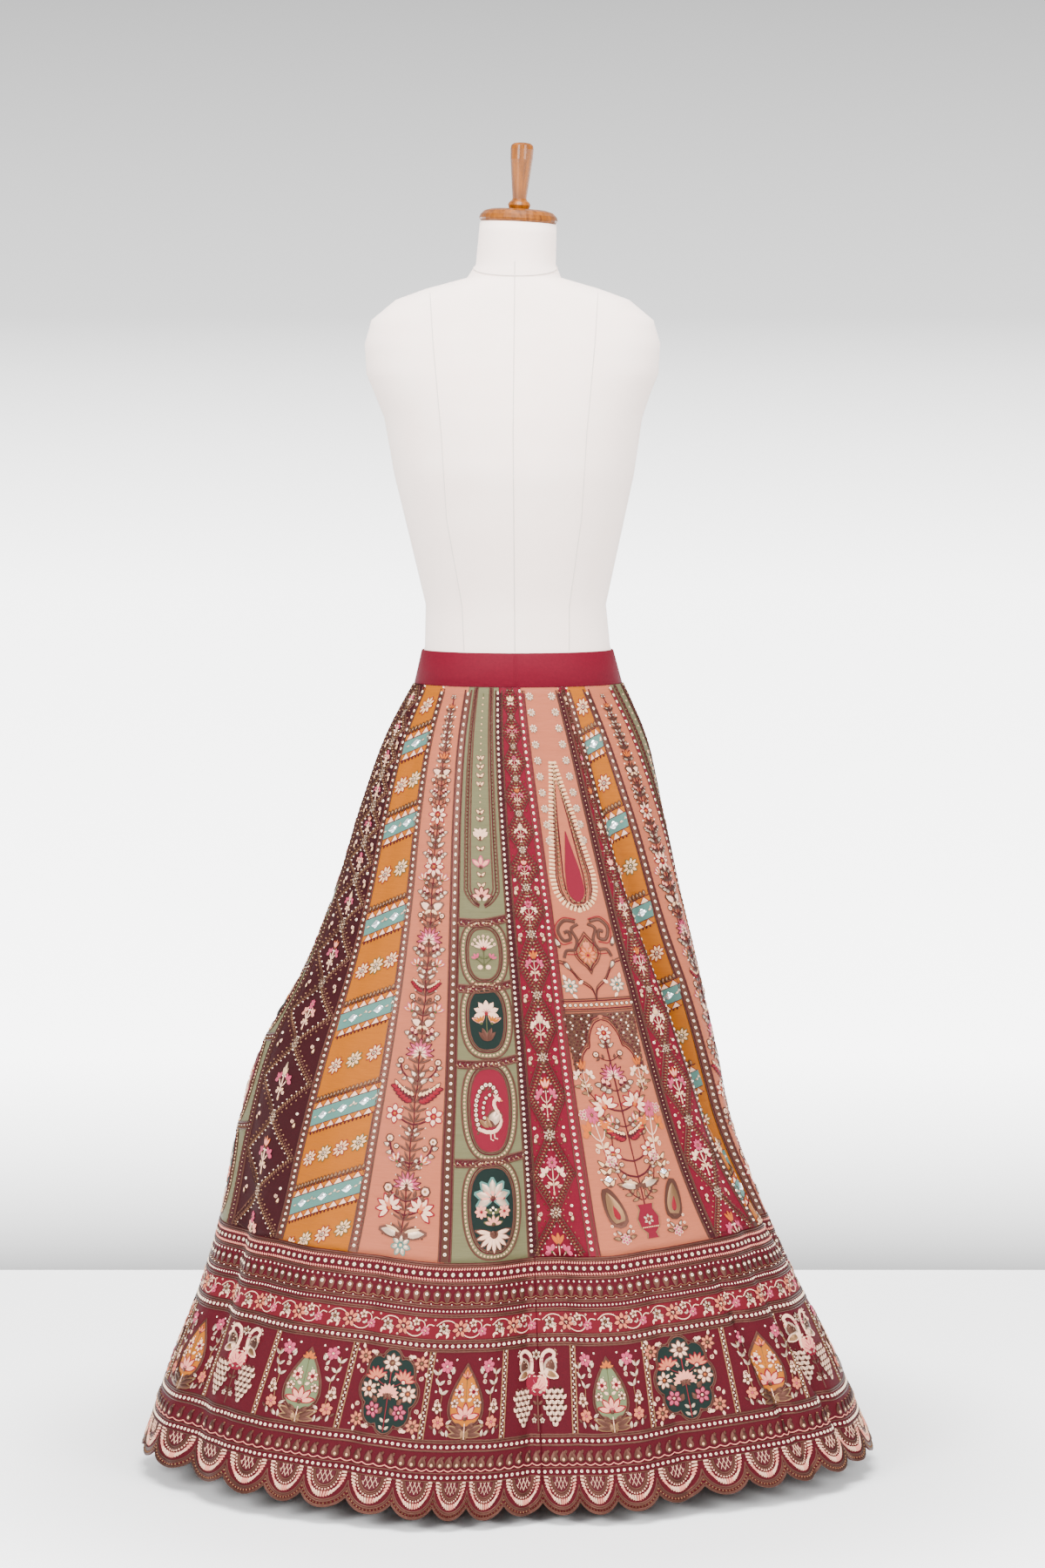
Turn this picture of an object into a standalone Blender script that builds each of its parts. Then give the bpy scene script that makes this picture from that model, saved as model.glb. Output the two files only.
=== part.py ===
"""Lehenga skirt of twenty kalis with a scalloped velvet border, on a limbless dress form.

Metres, +Z up. The front faces -Y and the form's axis is Z, from the floor under its base.
Angles are in degrees round that axis, from the front (0) towards +X (90) and the back (180).
"""
import math

import bpy
import numpy as np

# ---- cloth ----
CLOTH_WALL = 0.0022
SEAM_GAP = 0.0003
BAND_WALL = 0.0024
BAND_CLEARANCE = 0.0004      # between the band and the form under it
HEM_Z = 0.012
BORDER_TOP_Z = 0.292
BAND_BOTTOM_Z = 0.952
BAND_TOP_Z = 0.992
SIDE_LIFT = 0.014            # how much higher the hem hangs at the two sides
SIDE_LIFT_ENDS_Z = 0.70

# ---- scalloped edge ----
SCALLOP_COUNT = 46
SCALLOP_RADIUS = 0.037
SCALLOP_HALF_WIDTH = 0.0285
SCALLOP_COLUMNS = 5
BORDER_ROWS_Z = (0.215, 0.145, 0.080)

# ---- kalis ----
KALI_ROWS = 14
KALI_COLUMN_WIDTH = 0.028
KALI_LEAST_COLUMNS = 6

# ---- dress form ----
FORM_COLUMNS = 48
FORM_LEAN = math.radians(3.0)
NECK_CAP_HEIGHT = 0.0165
POLE_RADIUS = 0.0175
BASE_TOP_Z = 0.046
TURNED_STEPS = 32

# The skirt's reach from the axis at each height: left is -X, right +X, front -Y, back +Y.
SKIRT_COLUMNS = ("height", "left", "right", "front", "back")
SKIRT_PROFILE = (
    (0.012, 0.458, 0.432, 0.335, 0.375),
    (0.110, 0.424, 0.390, 0.306, 0.345),
    (0.210, 0.385, 0.343, 0.276, 0.310),
    (0.292, 0.361, 0.304, 0.251, 0.285),
    (0.410, 0.338, 0.260, 0.224, 0.256),
    (0.510, 0.309, 0.240, 0.199, 0.232),
    (0.610, 0.257, 0.219, 0.178, 0.208),
    (0.710, 0.218, 0.197, 0.158, 0.186),
    (0.810, 0.187, 0.175, 0.138, 0.163),
    (0.900, 0.153, 0.148, 0.115, 0.133),
    (0.952, 0.1247, 0.1247, 0.0967, 0.0947),
)

# Each kali starts at this seam: its cloth, and the seam's angle at the waist, at a height in the
# middle and at the border.
KALI_MIDDLE_Z = 0.560
KALI_COLUMNS = ("cloth", "waist", "middle", "border")
KALIS = (
    ("sage", -102, -99.6, -98), ("maroon", -84, -81, -80), ("mustard", -67.5, -60.4, -61.9),
    ("peach", -52, -42.5, -42.3), ("sage", -34, -23.2, -19.5), ("crimson", -13.5, 0.2, 5.2),
    ("peach", 1.5, 17, 23.2), ("crimson", 27.5, 45, 58), ("mustard", 33, 58.5, 75.4),
    ("peach", 46, 72.1, 90), ("sage", 66, 89.2, 105), ("maroon", 86, 106.2, 120),
    ("mustard", 99, 118.6, 132), ("peach", 119, 138, 151), ("sage", 138, 154.6, 166),
    ("crimson", 158, 171.7, 181), ("peach", 170, 183.7, 193), ("crimson", 193, 207.9, 218),
    ("mustard", 206, 220.3, 230), ("peach", 229, 240.3, 248),
)

# A fold is a soft trough that starts at its top, is deepest at its full height and runs down
# to the hem. Half width is the distance from its middle where it is down to a third.
FOLD_COLUMNS = ("top", "top_angle", "full", "depth", "foot_angle", "foot_depth", "half_width")
FOLDS = (
    (0.70, 10, 0.30, 0.050, 4, 0.034, 0.068),
    (0.60, 40, 0.29, 0.020, 40, 0.035, 0.160),
    (0.93, 38, 0.50, 0.050, 107, 0.000, 0.018),
    (0.29, 55, 0.16, 0.012, 64, 0.004, 0.010),
    (0.29, 66, 0.15, 0.012, 76, 0.004, 0.010),
    (0.29, 3.0, 0.15, 0.005, 3.0, 0.005, 0.010),
    (0.62, -84, 0.20, 0.012, -68, 0.014, 0.030),
    (0.88, 88, 0.35, 0.035, 112, 0.030, 0.028),
    (0.85, 112, 0.30, 0.040, 134, 0.035, 0.030),
    (0.80, 136, 0.25, 0.030, 154, 0.030, 0.026),
    (0.86, 160, 0.30, 0.042, 177, 0.036, 0.030),
    (0.78, 184, 0.25, 0.030, 198, 0.028, 0.026),
    (0.85, 212, 0.30, 0.040, 222, 0.036, 0.030),
    (0.80, 236, 0.28, 0.034, 243, 0.030, 0.028),
    (0.86, 255, 0.40, 0.030, 262, 0.030, 0.026),
)

# Where some of the scallops' middles come round the hem. The cloth is bunched where the
# angles are close.
SCALLOP_COLUMN_NAMES = ("scallop", "angle")
SCALLOP_PLACES = (
    (0, -73.5), (2, -53.5), (4, -38.5), (6, -20.6), (8, -7.2), (10, 9.9), (12, 25.6),
    (14, 46.0), (16, 61.5), (18, 77.0), (22, 107.0), (26, 137.0), (30, 167.0), (34, 197.0),
    (38, 227.0), (42, 257.0), (46, 286.5),
)

# The border is sewn up from four lengths, which meet between scallops.
BORDER_LENGTHS = (
    ("border_front_right", 9.5, 21.5),
    ("border_back_right", 21.5, 32.5),
    ("border_back_left", 32.5, 44.5),
    ("border_front_left", 44.5, 55.5),
)

# The dress form, from the neck down. Middle is how far its outline is set off along X.
FORM_COLUMN_NAMES = ("height", "middle", "half_width", "front", "back")
FORM_PROFILE = (
    (1.4985, 0.000, 0.0455, 0.0455, 0.0455),
    (1.450, -0.003, 0.0475, 0.0475, 0.0500),
    (1.434, -0.005, 0.0560, 0.0500, 0.0570),
    (1.421, -0.007, 0.1030, 0.0560, 0.0640),
    (1.408, -0.007, 0.1390, 0.0620, 0.0700),
    (1.384, -0.007, 0.1680, 0.0720, 0.0790),
    (1.356, -0.007, 0.1760, 0.0850, 0.0860),
    (1.320, -0.007, 0.1740, 0.0980, 0.0900),
    (1.298, -0.007, 0.1650, 0.1050, 0.0920),
    (1.268, -0.006, 0.1540, 0.1130, 0.0940),
    (1.200, -0.005, 0.1430, 0.1230, 0.0930),
    (1.130, -0.004, 0.1270, 0.1120, 0.0870),
    (1.046, -0.003, 0.1080, 0.0890, 0.0780),
    (BAND_TOP_Z + 0.004, -0.001, 0.1110, 0.0870, 0.0820),
    (BAND_BOTTOM_Z - 0.004, 0.000, 0.1230, 0.0950, 0.0930),
    (0.890, 0.000, 0.1350, 0.1000, 0.1060),
    (0.820, 0.000, 0.1430, 0.1030, 0.1120),
    (0.765, 0.000, 0.1380, 0.0950, 0.1030),
    (0.742, 0.000, 0.1200, 0.0800, 0.0880),
)

# Turned profiles, from the top down: radius, and height above the piece's own foot.
NECK_CAP_PROFILE = (
    (0.0150, NECK_CAP_HEIGHT), (0.0330, 0.0155), (0.0410, 0.0130), (0.0455, 0.0085),
    (0.0470, 0.0040), (0.0465, 0.0020), (0.0445, 0.0000),
)
FINIAL_PROFILE = (
    (0.0040, 0.0780), (0.0100, 0.0770), (0.0130, 0.0745), (0.0137, 0.0700), (0.0132, 0.0580),
    (0.0085, 0.0115), (0.0090, 0.0100), (0.0120, 0.0075), (0.0137, 0.0040), (0.0120, 0.0000),
)
BASE_PROFILE = (
    (0.0330, BASE_TOP_Z), (0.0370, 0.0440), (0.0450, 0.0260), (0.0510, 0.0220),
    (0.1790, 0.0220), (0.1850, 0.0160), (0.1850, 0.0030), (0.1820, 0.0000),
)

# sRGB colour, roughness and metallic value of each finish.
FINISHES = {
    "mustard": ((0.89, 0.61, 0.12), 0.55, 0.0),
    "peach": ((0.87, 0.63, 0.52), 0.55, 0.0),
    "sage": ((0.55, 0.57, 0.41), 0.6, 0.0),
    "crimson": ((0.75, 0.07, 0.18), 0.5, 0.0),
    "maroon": ((0.38, 0.04, 0.10), 0.7, 0.0),
    "form_cloth": ((0.95, 0.92, 0.90), 0.85, 0.0),
    "varnished_wood": ((0.72, 0.50, 0.25), 0.35, 0.0),
}


def column(table, names, name):
    """One named column of a table, as an array."""
    return np.array([row[names.index(name)] for row in table])


def smooth_read(at, knots, values):
    """Cubic curve through the rows, whose slope at a row comes from the rows beside it."""
    at = np.clip(at, knots[0], knots[-1])
    slopes = np.gradient(values, knots)
    low = np.clip(np.searchsorted(knots, at) - 1, 0, len(knots) - 2)
    step = knots[low + 1] - knots[low]
    t = (at - knots[low]) / step
    return ((1 + 2 * t) * (1 - t) ** 2 * values[low]
            + t * (1 - t) ** 2 * step * slopes[low]
            + t * t * (3 - 2 * t) * values[low + 1]
            + t * t * (t - 1) * step * slopes[low + 1])


def four_sided(reach, height, angle):
    """The reaches to the side and to the front or back that hold at that angle."""
    side = np.where(np.sin(angle) < 0, reach(height, "left"), reach(height, "right"))
    end = np.where(np.cos(angle) > 0, reach(height, "front"), reach(height, "back"))
    return side, end


# ---- the skirt's cloth ----
def skirt_reach(height, side):
    knots = column(SKIRT_PROFILE, SKIRT_COLUMNS, "height")
    return smooth_read(height, knots, column(SKIRT_PROFILE, SKIRT_COLUMNS, side))


def fold_depth(height, angle, radius):
    """How far all the folds together draw the cloth in towards the axis."""
    depth = np.zeros(np.broadcast(height, angle).shape)
    for row in FOLDS:
        fold = dict(zip(FOLD_COLUMNS, row))
        middle = np.radians(np.interp(height, (HEM_Z, fold["top"]),
                                      (fold["foot_angle"], fold["top_angle"])))
        turn = (angle - middle + math.pi) % (2 * math.pi) - math.pi
        strength = np.interp(height, (HEM_Z, fold["full"], fold["top"]),
                             (fold["foot_depth"], fold["depth"], 0.0))
        depth = depth + strength * np.exp(-(turn * radius / fold["half_width"]) ** 2)
    return depth


def skirt_radius(height, angle):
    """Distance from the axis to the smooth oval, before its folds, in a given direction."""
    side, end = four_sided(skirt_reach, height, angle)
    return 1 / np.hypot(np.sin(angle) / side, np.cos(angle) / end)


def skirt_point(height, angle):
    """The cloth's outer face, at a height before the sides' lift and an angle in radians."""
    radius = skirt_radius(height, angle)
    drawn = radius - fold_depth(height, angle, radius)
    fade = np.clip((SIDE_LIFT_ENDS_Z - height) / (SIDE_LIFT_ENDS_Z - BORDER_TOP_Z), 0, 1)
    lift = SIDE_LIFT * (1 - np.cos(angle) ** 4) * fade * fade * (3 - 2 * fade)
    return np.stack((drawn * np.sin(angle), -drawn * np.cos(angle), height + lift), axis=-1)


def level_normal(height, angle):
    """The cloth's outward direction, kept level so that pieces meet in level seams."""
    step = 1e-4
    along = skirt_point(height, angle + step) - skirt_point(height, angle - step)
    outward = np.stack((along[..., 1], -along[..., 0], 0 * along[..., 0]), axis=-1)
    return outward / np.linalg.norm(outward, axis=-1, keepdims=True)


def seam_angle(seam, height):
    """A kali seam's angle in radians: a smooth bow through its three angles, read as the
    straight line from waist to border with the middle's distance from it added as a parabola."""
    turns, start = divmod(seam, len(KALIS))
    waist, middle, border = (column(KALIS, KALI_COLUMNS, name).astype(float)[start] + 360 * turns
                             for name in ("waist", "middle", "border"))
    share = (np.asarray(height) - BORDER_TOP_Z) / (BAND_BOTTOM_Z - BORDER_TOP_Z)
    at = (KALI_MIDDLE_Z - BORDER_TOP_Z) / (BAND_BOTTOM_Z - BORDER_TOP_Z)
    bow = (middle - border - (waist - border) * at) / (at * (1 - at))
    return np.radians(border + (waist - border) * share + bow * share * (1 - share))


def scallop_angle(scallop):
    """The angle in radians of a place on the border, counted in scallops."""
    names = column(SCALLOP_PLACES, SCALLOP_COLUMN_NAMES, "scallop").astype(float)
    angles = column(SCALLOP_PLACES, SCALLOP_COLUMN_NAMES, "angle")
    knots = np.concatenate((names[-5:-1] - SCALLOP_COUNT, names, names[1:5] + SCALLOP_COUNT))
    values = np.concatenate((angles[-5:-1] - 360, angles, angles[1:5] + 360))
    turns = np.floor(scallop / SCALLOP_COUNT)
    within = scallop - turns * SCALLOP_COUNT
    return np.radians(smooth_read(within, knots, values) + 360 * turns)


def scallop_rise(scallop):
    """How far the cut edge rises above a scallop's lowest point: an arc of a circle."""
    across = 2 * SCALLOP_HALF_WIDTH * ((scallop + 0.5) % 1 - 0.5)
    return SCALLOP_RADIUS - np.sqrt(SCALLOP_RADIUS ** 2 - across ** 2)


# ---- meshes ----
def finish_of(name):
    material = bpy.data.materials.get(name)
    if material is None:
        colour, roughness, metallic = FINISHES[name]
        material = bpy.data.materials.new(name)
        material.use_nodes = True
        shader = material.node_tree.nodes["Principled BSDF"]
        shader.inputs["Base Color"].default_value = (*(value ** 2.2 for value in colour), 1)
        shader.inputs["Roughness"].default_value = roughness
        shader.inputs["Metallic"].default_value = metallic
    return material


def add_object(name, points, faces, finish):
    mesh = bpy.data.meshes.new(name)
    mesh.from_pydata([tuple(point) for point in points], [], faces)
    mesh.shade_smooth()
    mesh.set_sharp_from_angle(angle=math.radians(40))
    mesh.materials.append(finish_of(finish))
    made = bpy.data.objects.new(name, mesh)
    bpy.context.collection.objects.link(made)
    return made


def add_sheet(name, outer, inner, finish):
    """A wall between two grids of points, rows from the top and columns counter to the clock."""
    rows, columns = outer.shape[:2]
    number = np.arange(rows * columns).reshape(rows, columns)
    behind = number + rows * columns
    faces = []
    for row in range(rows - 1):
        for col in range(columns - 1):
            # Both faces are split along the same diagonal, so that they never cross in a fold.
            first = ((row, col), (row + 1, col), (row + 1, col + 1))
            second = ((row, col), (row + 1, col + 1), (row, col + 1))
            for corners in (first, second):
                faces.append([int(number[corner]) for corner in corners])
                faces.append([int(behind[corner]) for corner in reversed(corners)])
    for row, turned in ((0, False), (rows - 1, True)):
        for col in range(columns - 1):
            face = [int(number[row, col]), int(number[row, col + 1]),
                    int(behind[row, col + 1]), int(behind[row, col])]
            faces.append(face[::-1] if turned else face)
    for col, turned in ((0, True), (columns - 1, False)):
        for row in range(rows - 1):
            # Neighbours share this diagonal, so their walls never cross where the cloth twists.
            top, foot = int(number[row, col]), int(number[row + 1, col])
            top_behind, foot_behind = int(behind[row, col]), int(behind[row + 1, col])
            for face in ([top, foot, foot_behind], [top, foot_behind, top_behind]):
                faces.append(face[::-1] if turned else face)
    points = np.concatenate((outer.reshape(-1, 3), inner.reshape(-1, 3)))
    return add_object(name, points, faces, finish)


def add_loft(name, rings, finish):
    """A solid through closed rings of points, from the top ring down, with flat ends."""
    count, columns = rings.shape[:2]
    faces = [[int(col) for col in range(columns)]]
    for ring in range(count - 1):
        for col in range(columns):
            after = (col + 1) % columns
            faces.append([ring * columns + col, (ring + 1) * columns + col,
                          (ring + 1) * columns + after, ring * columns + after])
    faces.append([(count - 1) * columns + col for col in reversed(range(columns))])
    return add_object(name, rings.reshape(-1, 3), faces, finish)


def add_turned(name, profile, finish):
    """A turned solid from (radius, height) points, top to bottom, with flat ends."""
    angles = np.linspace(0, 2 * math.pi, TURNED_STEPS, endpoint=False)
    radius, height = (np.array(values)[:, None] for values in zip(*profile))
    rings = np.stack((radius * np.sin(angles), -radius * np.cos(angles),
                      height + 0 * angles), axis=-1)
    return add_loft(name, rings, finish)


# ---- pieces ----
def add_kali(number):
    """One gore: its side seams follow its own two seam lines, a seam gap short of each."""
    heights = np.linspace(BAND_BOTTOM_Z - SEAM_GAP / 2, BORDER_TOP_Z + SEAM_GAP / 2, KALI_ROWS)
    left, right = seam_angle(number, heights), seam_angle(number + 1, heights)
    radius = skirt_radius(heights, (left + right) / 2)
    margin = SEAM_GAP / 2 / radius
    width = (radius * (right - left))[-1]
    columns = max(KALI_LEAST_COLUMNS, 1 + math.ceil(width / KALI_COLUMN_WIDTH))
    across = np.linspace(0, 1, columns + 1)
    angle = (left + margin)[:, None] + (right - left - 2 * margin)[:, None] * across
    height = heights[:, None] + 0 * angle
    outer = skirt_point(height, angle)
    inner = outer - CLOTH_WALL * level_normal(height, angle)
    cloth = KALIS[number][KALI_COLUMNS.index("cloth")]
    return add_sheet(f"kali_{number + 1:02d}_{cloth}", outer, inner, cloth)


def add_border(name, start, end):
    """One length of the border, from the kalis' foot to its scalloped edge."""
    columns = round((end - start) * SCALLOP_COLUMNS)
    scallop = np.linspace(start, end, columns + 1)
    angle = scallop_angle(scallop)
    radius = skirt_radius(HEM_Z, angle[[0, -1]])
    angle[0] += SEAM_GAP / 2 / radius[0]
    angle[-1] -= SEAM_GAP / 2 / radius[-1]
    levels = [np.full(angle.shape, level) for level in (BORDER_TOP_Z - SEAM_GAP / 2,
                                                        *BORDER_ROWS_Z)]
    height = np.stack((*levels, HEM_Z + scallop_rise(scallop)))
    angle = np.broadcast_to(angle, height.shape)
    outer = skirt_point(height, angle)
    inner = outer - CLOTH_WALL * level_normal(height, angle)
    return add_sheet(name, outer, inner, "maroon")


def form_reach(height, side):
    """Half width, set off to the middle on the left and right, or the reach to an end."""
    knots = column(FORM_PROFILE, FORM_COLUMN_NAMES, "height")[::-1]

    def read(name):
        return np.interp(height, knots, column(FORM_PROFILE, FORM_COLUMN_NAMES, name)[::-1])

    if side in ("front", "back"):
        return read(side)
    return read("half_width") + (read("middle") if side == "right" else -read("middle"))


def form_ring(height, outward=0.0):
    """The form's closed outline at a height, moved outwards by a distance."""
    angle = np.linspace(0, 2 * math.pi, FORM_COLUMNS, endpoint=False)
    side, end = four_sided(form_reach, height, angle)
    points = np.stack((side * np.sin(angle), -end * np.cos(angle),
                       np.full(angle.shape, float(height))), axis=-1)
    along = np.roll(points, -1, axis=0) - np.roll(points, 1, axis=0)
    normal = np.stack((along[:, 1], -along[:, 0], 0 * angle), axis=-1)
    return points + outward * normal / np.linalg.norm(normal, axis=1, keepdims=True)


def add_form():
    """The padded torso. Its neck is cut off square to the leaning neck cap."""
    rings = np.stack([form_ring(row[0]) for row in FORM_PROFILE])
    rings[0, :, 2] -= np.tan(FORM_LEAN) * rings[0, :, 0]
    return add_loft("form_torso", rings, "form_cloth")


def add_waistband():
    """A plain flat band round the form's waist, sitting on its seams with the kalis."""
    foot = BAND_BOTTOM_Z + SEAM_GAP / 2
    corners = ((BAND_TOP_Z, BAND_WALL), (foot, BAND_WALL), (foot, 0.0), (BAND_TOP_Z, 0.0))
    rings = np.stack([form_ring(height, BAND_CLEARANCE + wall) for height, wall in corners])
    faces = []
    for ring in range(len(corners)):
        here, below = ring * FORM_COLUMNS, (ring + 1) % len(corners) * FORM_COLUMNS
        for col in range(FORM_COLUMNS):
            after = (col + 1) % FORM_COLUMNS
            faces.append([here + col, below + col, below + after, here + after])
    return add_object("waistband", rings.reshape(-1, 3), faces, "crimson")


def add_neck_cap_and_finial():
    """The turned cap on the neck and its finial, leaning together."""
    lean = bpy.data.objects.new("neck_lean", None)
    bpy.context.collection.objects.link(lean)
    lean.location = (0, 0, FORM_PROFILE[0][0] + SEAM_GAP)
    lean.rotation_euler = (0, FORM_LEAN, 0)
    cap = add_turned("form_neck_cap", NECK_CAP_PROFILE, "varnished_wood")
    finial = add_turned("form_finial", FINIAL_PROFILE, "varnished_wood")
    cap.parent = lean
    finial.parent = lean
    finial.location = (0, 0, NECK_CAP_HEIGHT + SEAM_GAP)


def add_stand():
    """The hidden stand: a turned pole in a collar on a round base."""
    pole_top = FORM_PROFILE[-1][0] - SEAM_GAP
    pole_foot = BASE_TOP_Z + SEAM_GAP
    pole = ((POLE_RADIUS, pole_top), (POLE_RADIUS, pole_foot))
    add_turned("stand_pole", pole, "varnished_wood")
    add_turned("stand_base", BASE_PROFILE, "varnished_wood")


for old in list(bpy.data.objects):
    bpy.data.objects.remove(old)
add_form()
add_neck_cap_and_finial()
add_stand()
add_waistband()
for kali in range(len(KALIS)):
    add_kali(kali)
for border_length in BORDER_LENGTHS:
    add_border(*border_length)
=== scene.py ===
"""Looks of a twenty-kali lehenga skirt on a limbless dress form.

Metres, +Z up, the front faces -Y. Angles go round the form's axis from the front towards +X.
"""
import math

import bpy
import numpy as np
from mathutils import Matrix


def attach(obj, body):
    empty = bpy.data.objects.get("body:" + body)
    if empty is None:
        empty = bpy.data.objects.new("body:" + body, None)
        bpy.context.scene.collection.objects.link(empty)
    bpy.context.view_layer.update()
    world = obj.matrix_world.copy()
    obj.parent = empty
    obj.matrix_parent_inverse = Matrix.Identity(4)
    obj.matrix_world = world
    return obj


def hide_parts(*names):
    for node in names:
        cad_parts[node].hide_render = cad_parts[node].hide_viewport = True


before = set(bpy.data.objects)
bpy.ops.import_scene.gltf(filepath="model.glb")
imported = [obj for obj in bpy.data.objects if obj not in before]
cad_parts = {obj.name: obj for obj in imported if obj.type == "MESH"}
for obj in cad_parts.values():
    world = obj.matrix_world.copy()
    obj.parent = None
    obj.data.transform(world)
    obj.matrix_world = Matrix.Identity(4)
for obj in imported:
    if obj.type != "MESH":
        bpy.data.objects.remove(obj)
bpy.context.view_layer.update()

# ---- Studio ----
# A pale paper floor that ends in front of a light grey backdrop, two large softboxes in front
# and one overhead. The camera stands 5 m away at chest height and looks slightly down.
FLOOR_HALF_SIDE = 1.16
CAMERA_PLACE = (0.005, -5.0, 1.262)
CAMERA_PITCH = math.radians(4.94)
CAMERA_LENS = 95.88


def colour_of(hex_code):
    """sRGB hex to linear: each channel is (c + 0.055) / 1.055 to the power 2.4."""
    channels = [int(hex_code[k:k + 2], 16) / 255 for k in (1, 3, 5)]
    return [c / 12.92 if c < 0.04045 else ((c + 0.055) / 1.055) ** 2.4 for c in channels] + [1.0]


def add_node(tree, kind, inputs=(), **settings):
    """One node with its settings. Each input is a value, or a socket that is linked to it."""
    node = tree.nodes.new(kind)
    for name, value in settings.items():
        setattr(node, name, value)
    for name, value in dict(inputs).items():
        if isinstance(value, bpy.types.NodeSocket):
            tree.links.new(value, node.inputs[name])
        else:
            node.inputs[name].default_value = value
    return node


def new_finish(name, inputs):
    """A material with only a Principled BSDF, which takes these inputs."""
    material = bpy.data.materials.new(name)
    material.use_nodes = True
    shader = material.node_tree.nodes["Principled BSDF"]
    for socket, value in inputs.items():
        shader.inputs[socket].default_value = value
    return material


def put_on_body(name, points, triangles, finishes, finish_numbers=None):
    """A mesh object from a list of points and triangles, which rides on the only body."""
    mesh = bpy.data.meshes.new(name)
    mesh.vertices.add(len(points))
    mesh.vertices.foreach_set("co", np.asarray(points, np.float32).ravel())
    mesh.loops.add(3 * len(triangles))
    mesh.loops.foreach_set("vertex_index", np.asarray(triangles, np.int32).ravel())
    mesh.polygons.add(len(triangles))
    mesh.polygons.foreach_set("loop_start", np.arange(0, 3 * len(triangles), 3, dtype=np.int32))
    for finish in finishes:
        mesh.materials.append(finish)
    if finish_numbers is not None:
        mesh.polygons.foreach_set("material_index", np.asarray(finish_numbers, np.int32))
    mesh.update(calc_edges=True)
    mesh.validate()
    mesh.shade_smooth()
    made = bpy.data.objects.new(name, mesh)
    bpy.context.collection.objects.link(made)
    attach(made, "root")
    return made


floor_paper = new_finish("floor_paper_painted_glow", {
    "Base Color": colour_of("#FAFAFA"), "Roughness": 0.75, "Specular IOR Level": 0.2,
    "Emission Color": colour_of("#FFFFFF")})
# The paper glows a little, which is painted light as if it were lit from all round. The glow fades out
# from 0.85 m to 0.42 m from its middle and is gone within 0.42 m, which paints a shadow round the skirt's
# foot.
tree = floor_paper.node_tree
away = add_node(tree, "ShaderNodeVectorMath", {
    0: add_node(tree, "ShaderNodeTexCoord").outputs["Object"]}, operation="LENGTH")
painted_glow_and_shadow = add_node(tree, "ShaderNodeMapRange", {
    "Value": away.outputs["Value"], "From Min": 0.42, "From Max": 0.85, "To Max": 1.6},
    interpolation_type="SMOOTHSTEP")
tree.links.new(painted_glow_and_shadow.outputs[0], tree.nodes["Principled BSDF"].inputs["Emission Strength"])
bpy.ops.mesh.primitive_plane_add(size=2 * FLOOR_HALF_SIDE)
floor = bpy.context.object
floor.name = "floor"
floor.data.materials.append(floor_paper)

world = bpy.data.worlds.new("backdrop")
world.use_nodes = True
sky = world.node_tree
direction = add_node(sky, "ShaderNodeTexCoord").outputs["Generated"]
parts = add_node(sky, "ShaderNodeSeparateXYZ", {0: direction})
ramp = add_node(sky, "ShaderNodeValToRGB", {0: add_node(
    sky, "ShaderNodeMath", {0: parts.outputs["Z"], 1: 2.0, 2: 0.5},
    operation="MULTIPLY_ADD").outputs[0]})
# The backdrop is palest behind the skirt, and darker at the floor and overhead.
BACKDROP_STRENGTH = 8.0
BACKDROP = ((0.10, "#686868"), (0.20, "#F0F0F0"), (0.42, "#DADADA"), (0.55, "#808080"), (0.70, "#606060"))
for _ in BACKDROP[2:]:
    ramp.color_ramp.elements.new(0.5)
for element, (place, tone) in zip(ramp.color_ramp.elements, BACKDROP):
    element.position = place
    element.color = colour_of(tone)
sky.links.new(ramp.outputs[0], sky.nodes["Background"].inputs["Color"])
sky.nodes["Background"].inputs["Strength"].default_value = BACKDROP_STRENGTH
bpy.context.scene.world = world

# Each lamp: its place, the point it faces, its width, its height and its power in watts.
SOFTBOXES = (
    ("left_softbox", (-2.6, -3.6, 2.5), (0, 0, 0.8), 1.6, 2.2, 290),
    ("right_softbox", (2.8, -3.2, 2.3), (0, 0, 0.8), 1.6, 2.2, 195),
    ("top_softbox", (0.0, -0.9, 3.4), (0, 0, 0.5), 1.8, 1.8, 215),
)
for name, place, target, width, height, power in SOFTBOXES:
    lamp = bpy.data.lights.new(name, "AREA")
    lamp.shape = "RECTANGLE"
    lamp.size = width
    lamp.size_y = height
    lamp.energy = power
    box = bpy.data.objects.new(name, lamp)
    box.location = place
    aim = np.array(target) - np.array(place)
    box.rotation_euler = (math.acos(-aim[2] / np.linalg.norm(aim)), 0,
                          math.atan2(aim[1], aim[0]) - math.pi / 2)
    bpy.context.collection.objects.link(box)

camera_data = bpy.data.cameras.new("camera")
camera_data.lens = CAMERA_LENS
camera_data.sensor_width = 36
camera = bpy.data.objects.new("camera", camera_data)
camera.location = CAMERA_PLACE
camera.rotation_euler = (math.pi / 2 - CAMERA_PITCH, 0, 0)
bpy.context.collection.objects.link(camera)
bpy.context.scene.camera = camera

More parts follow.
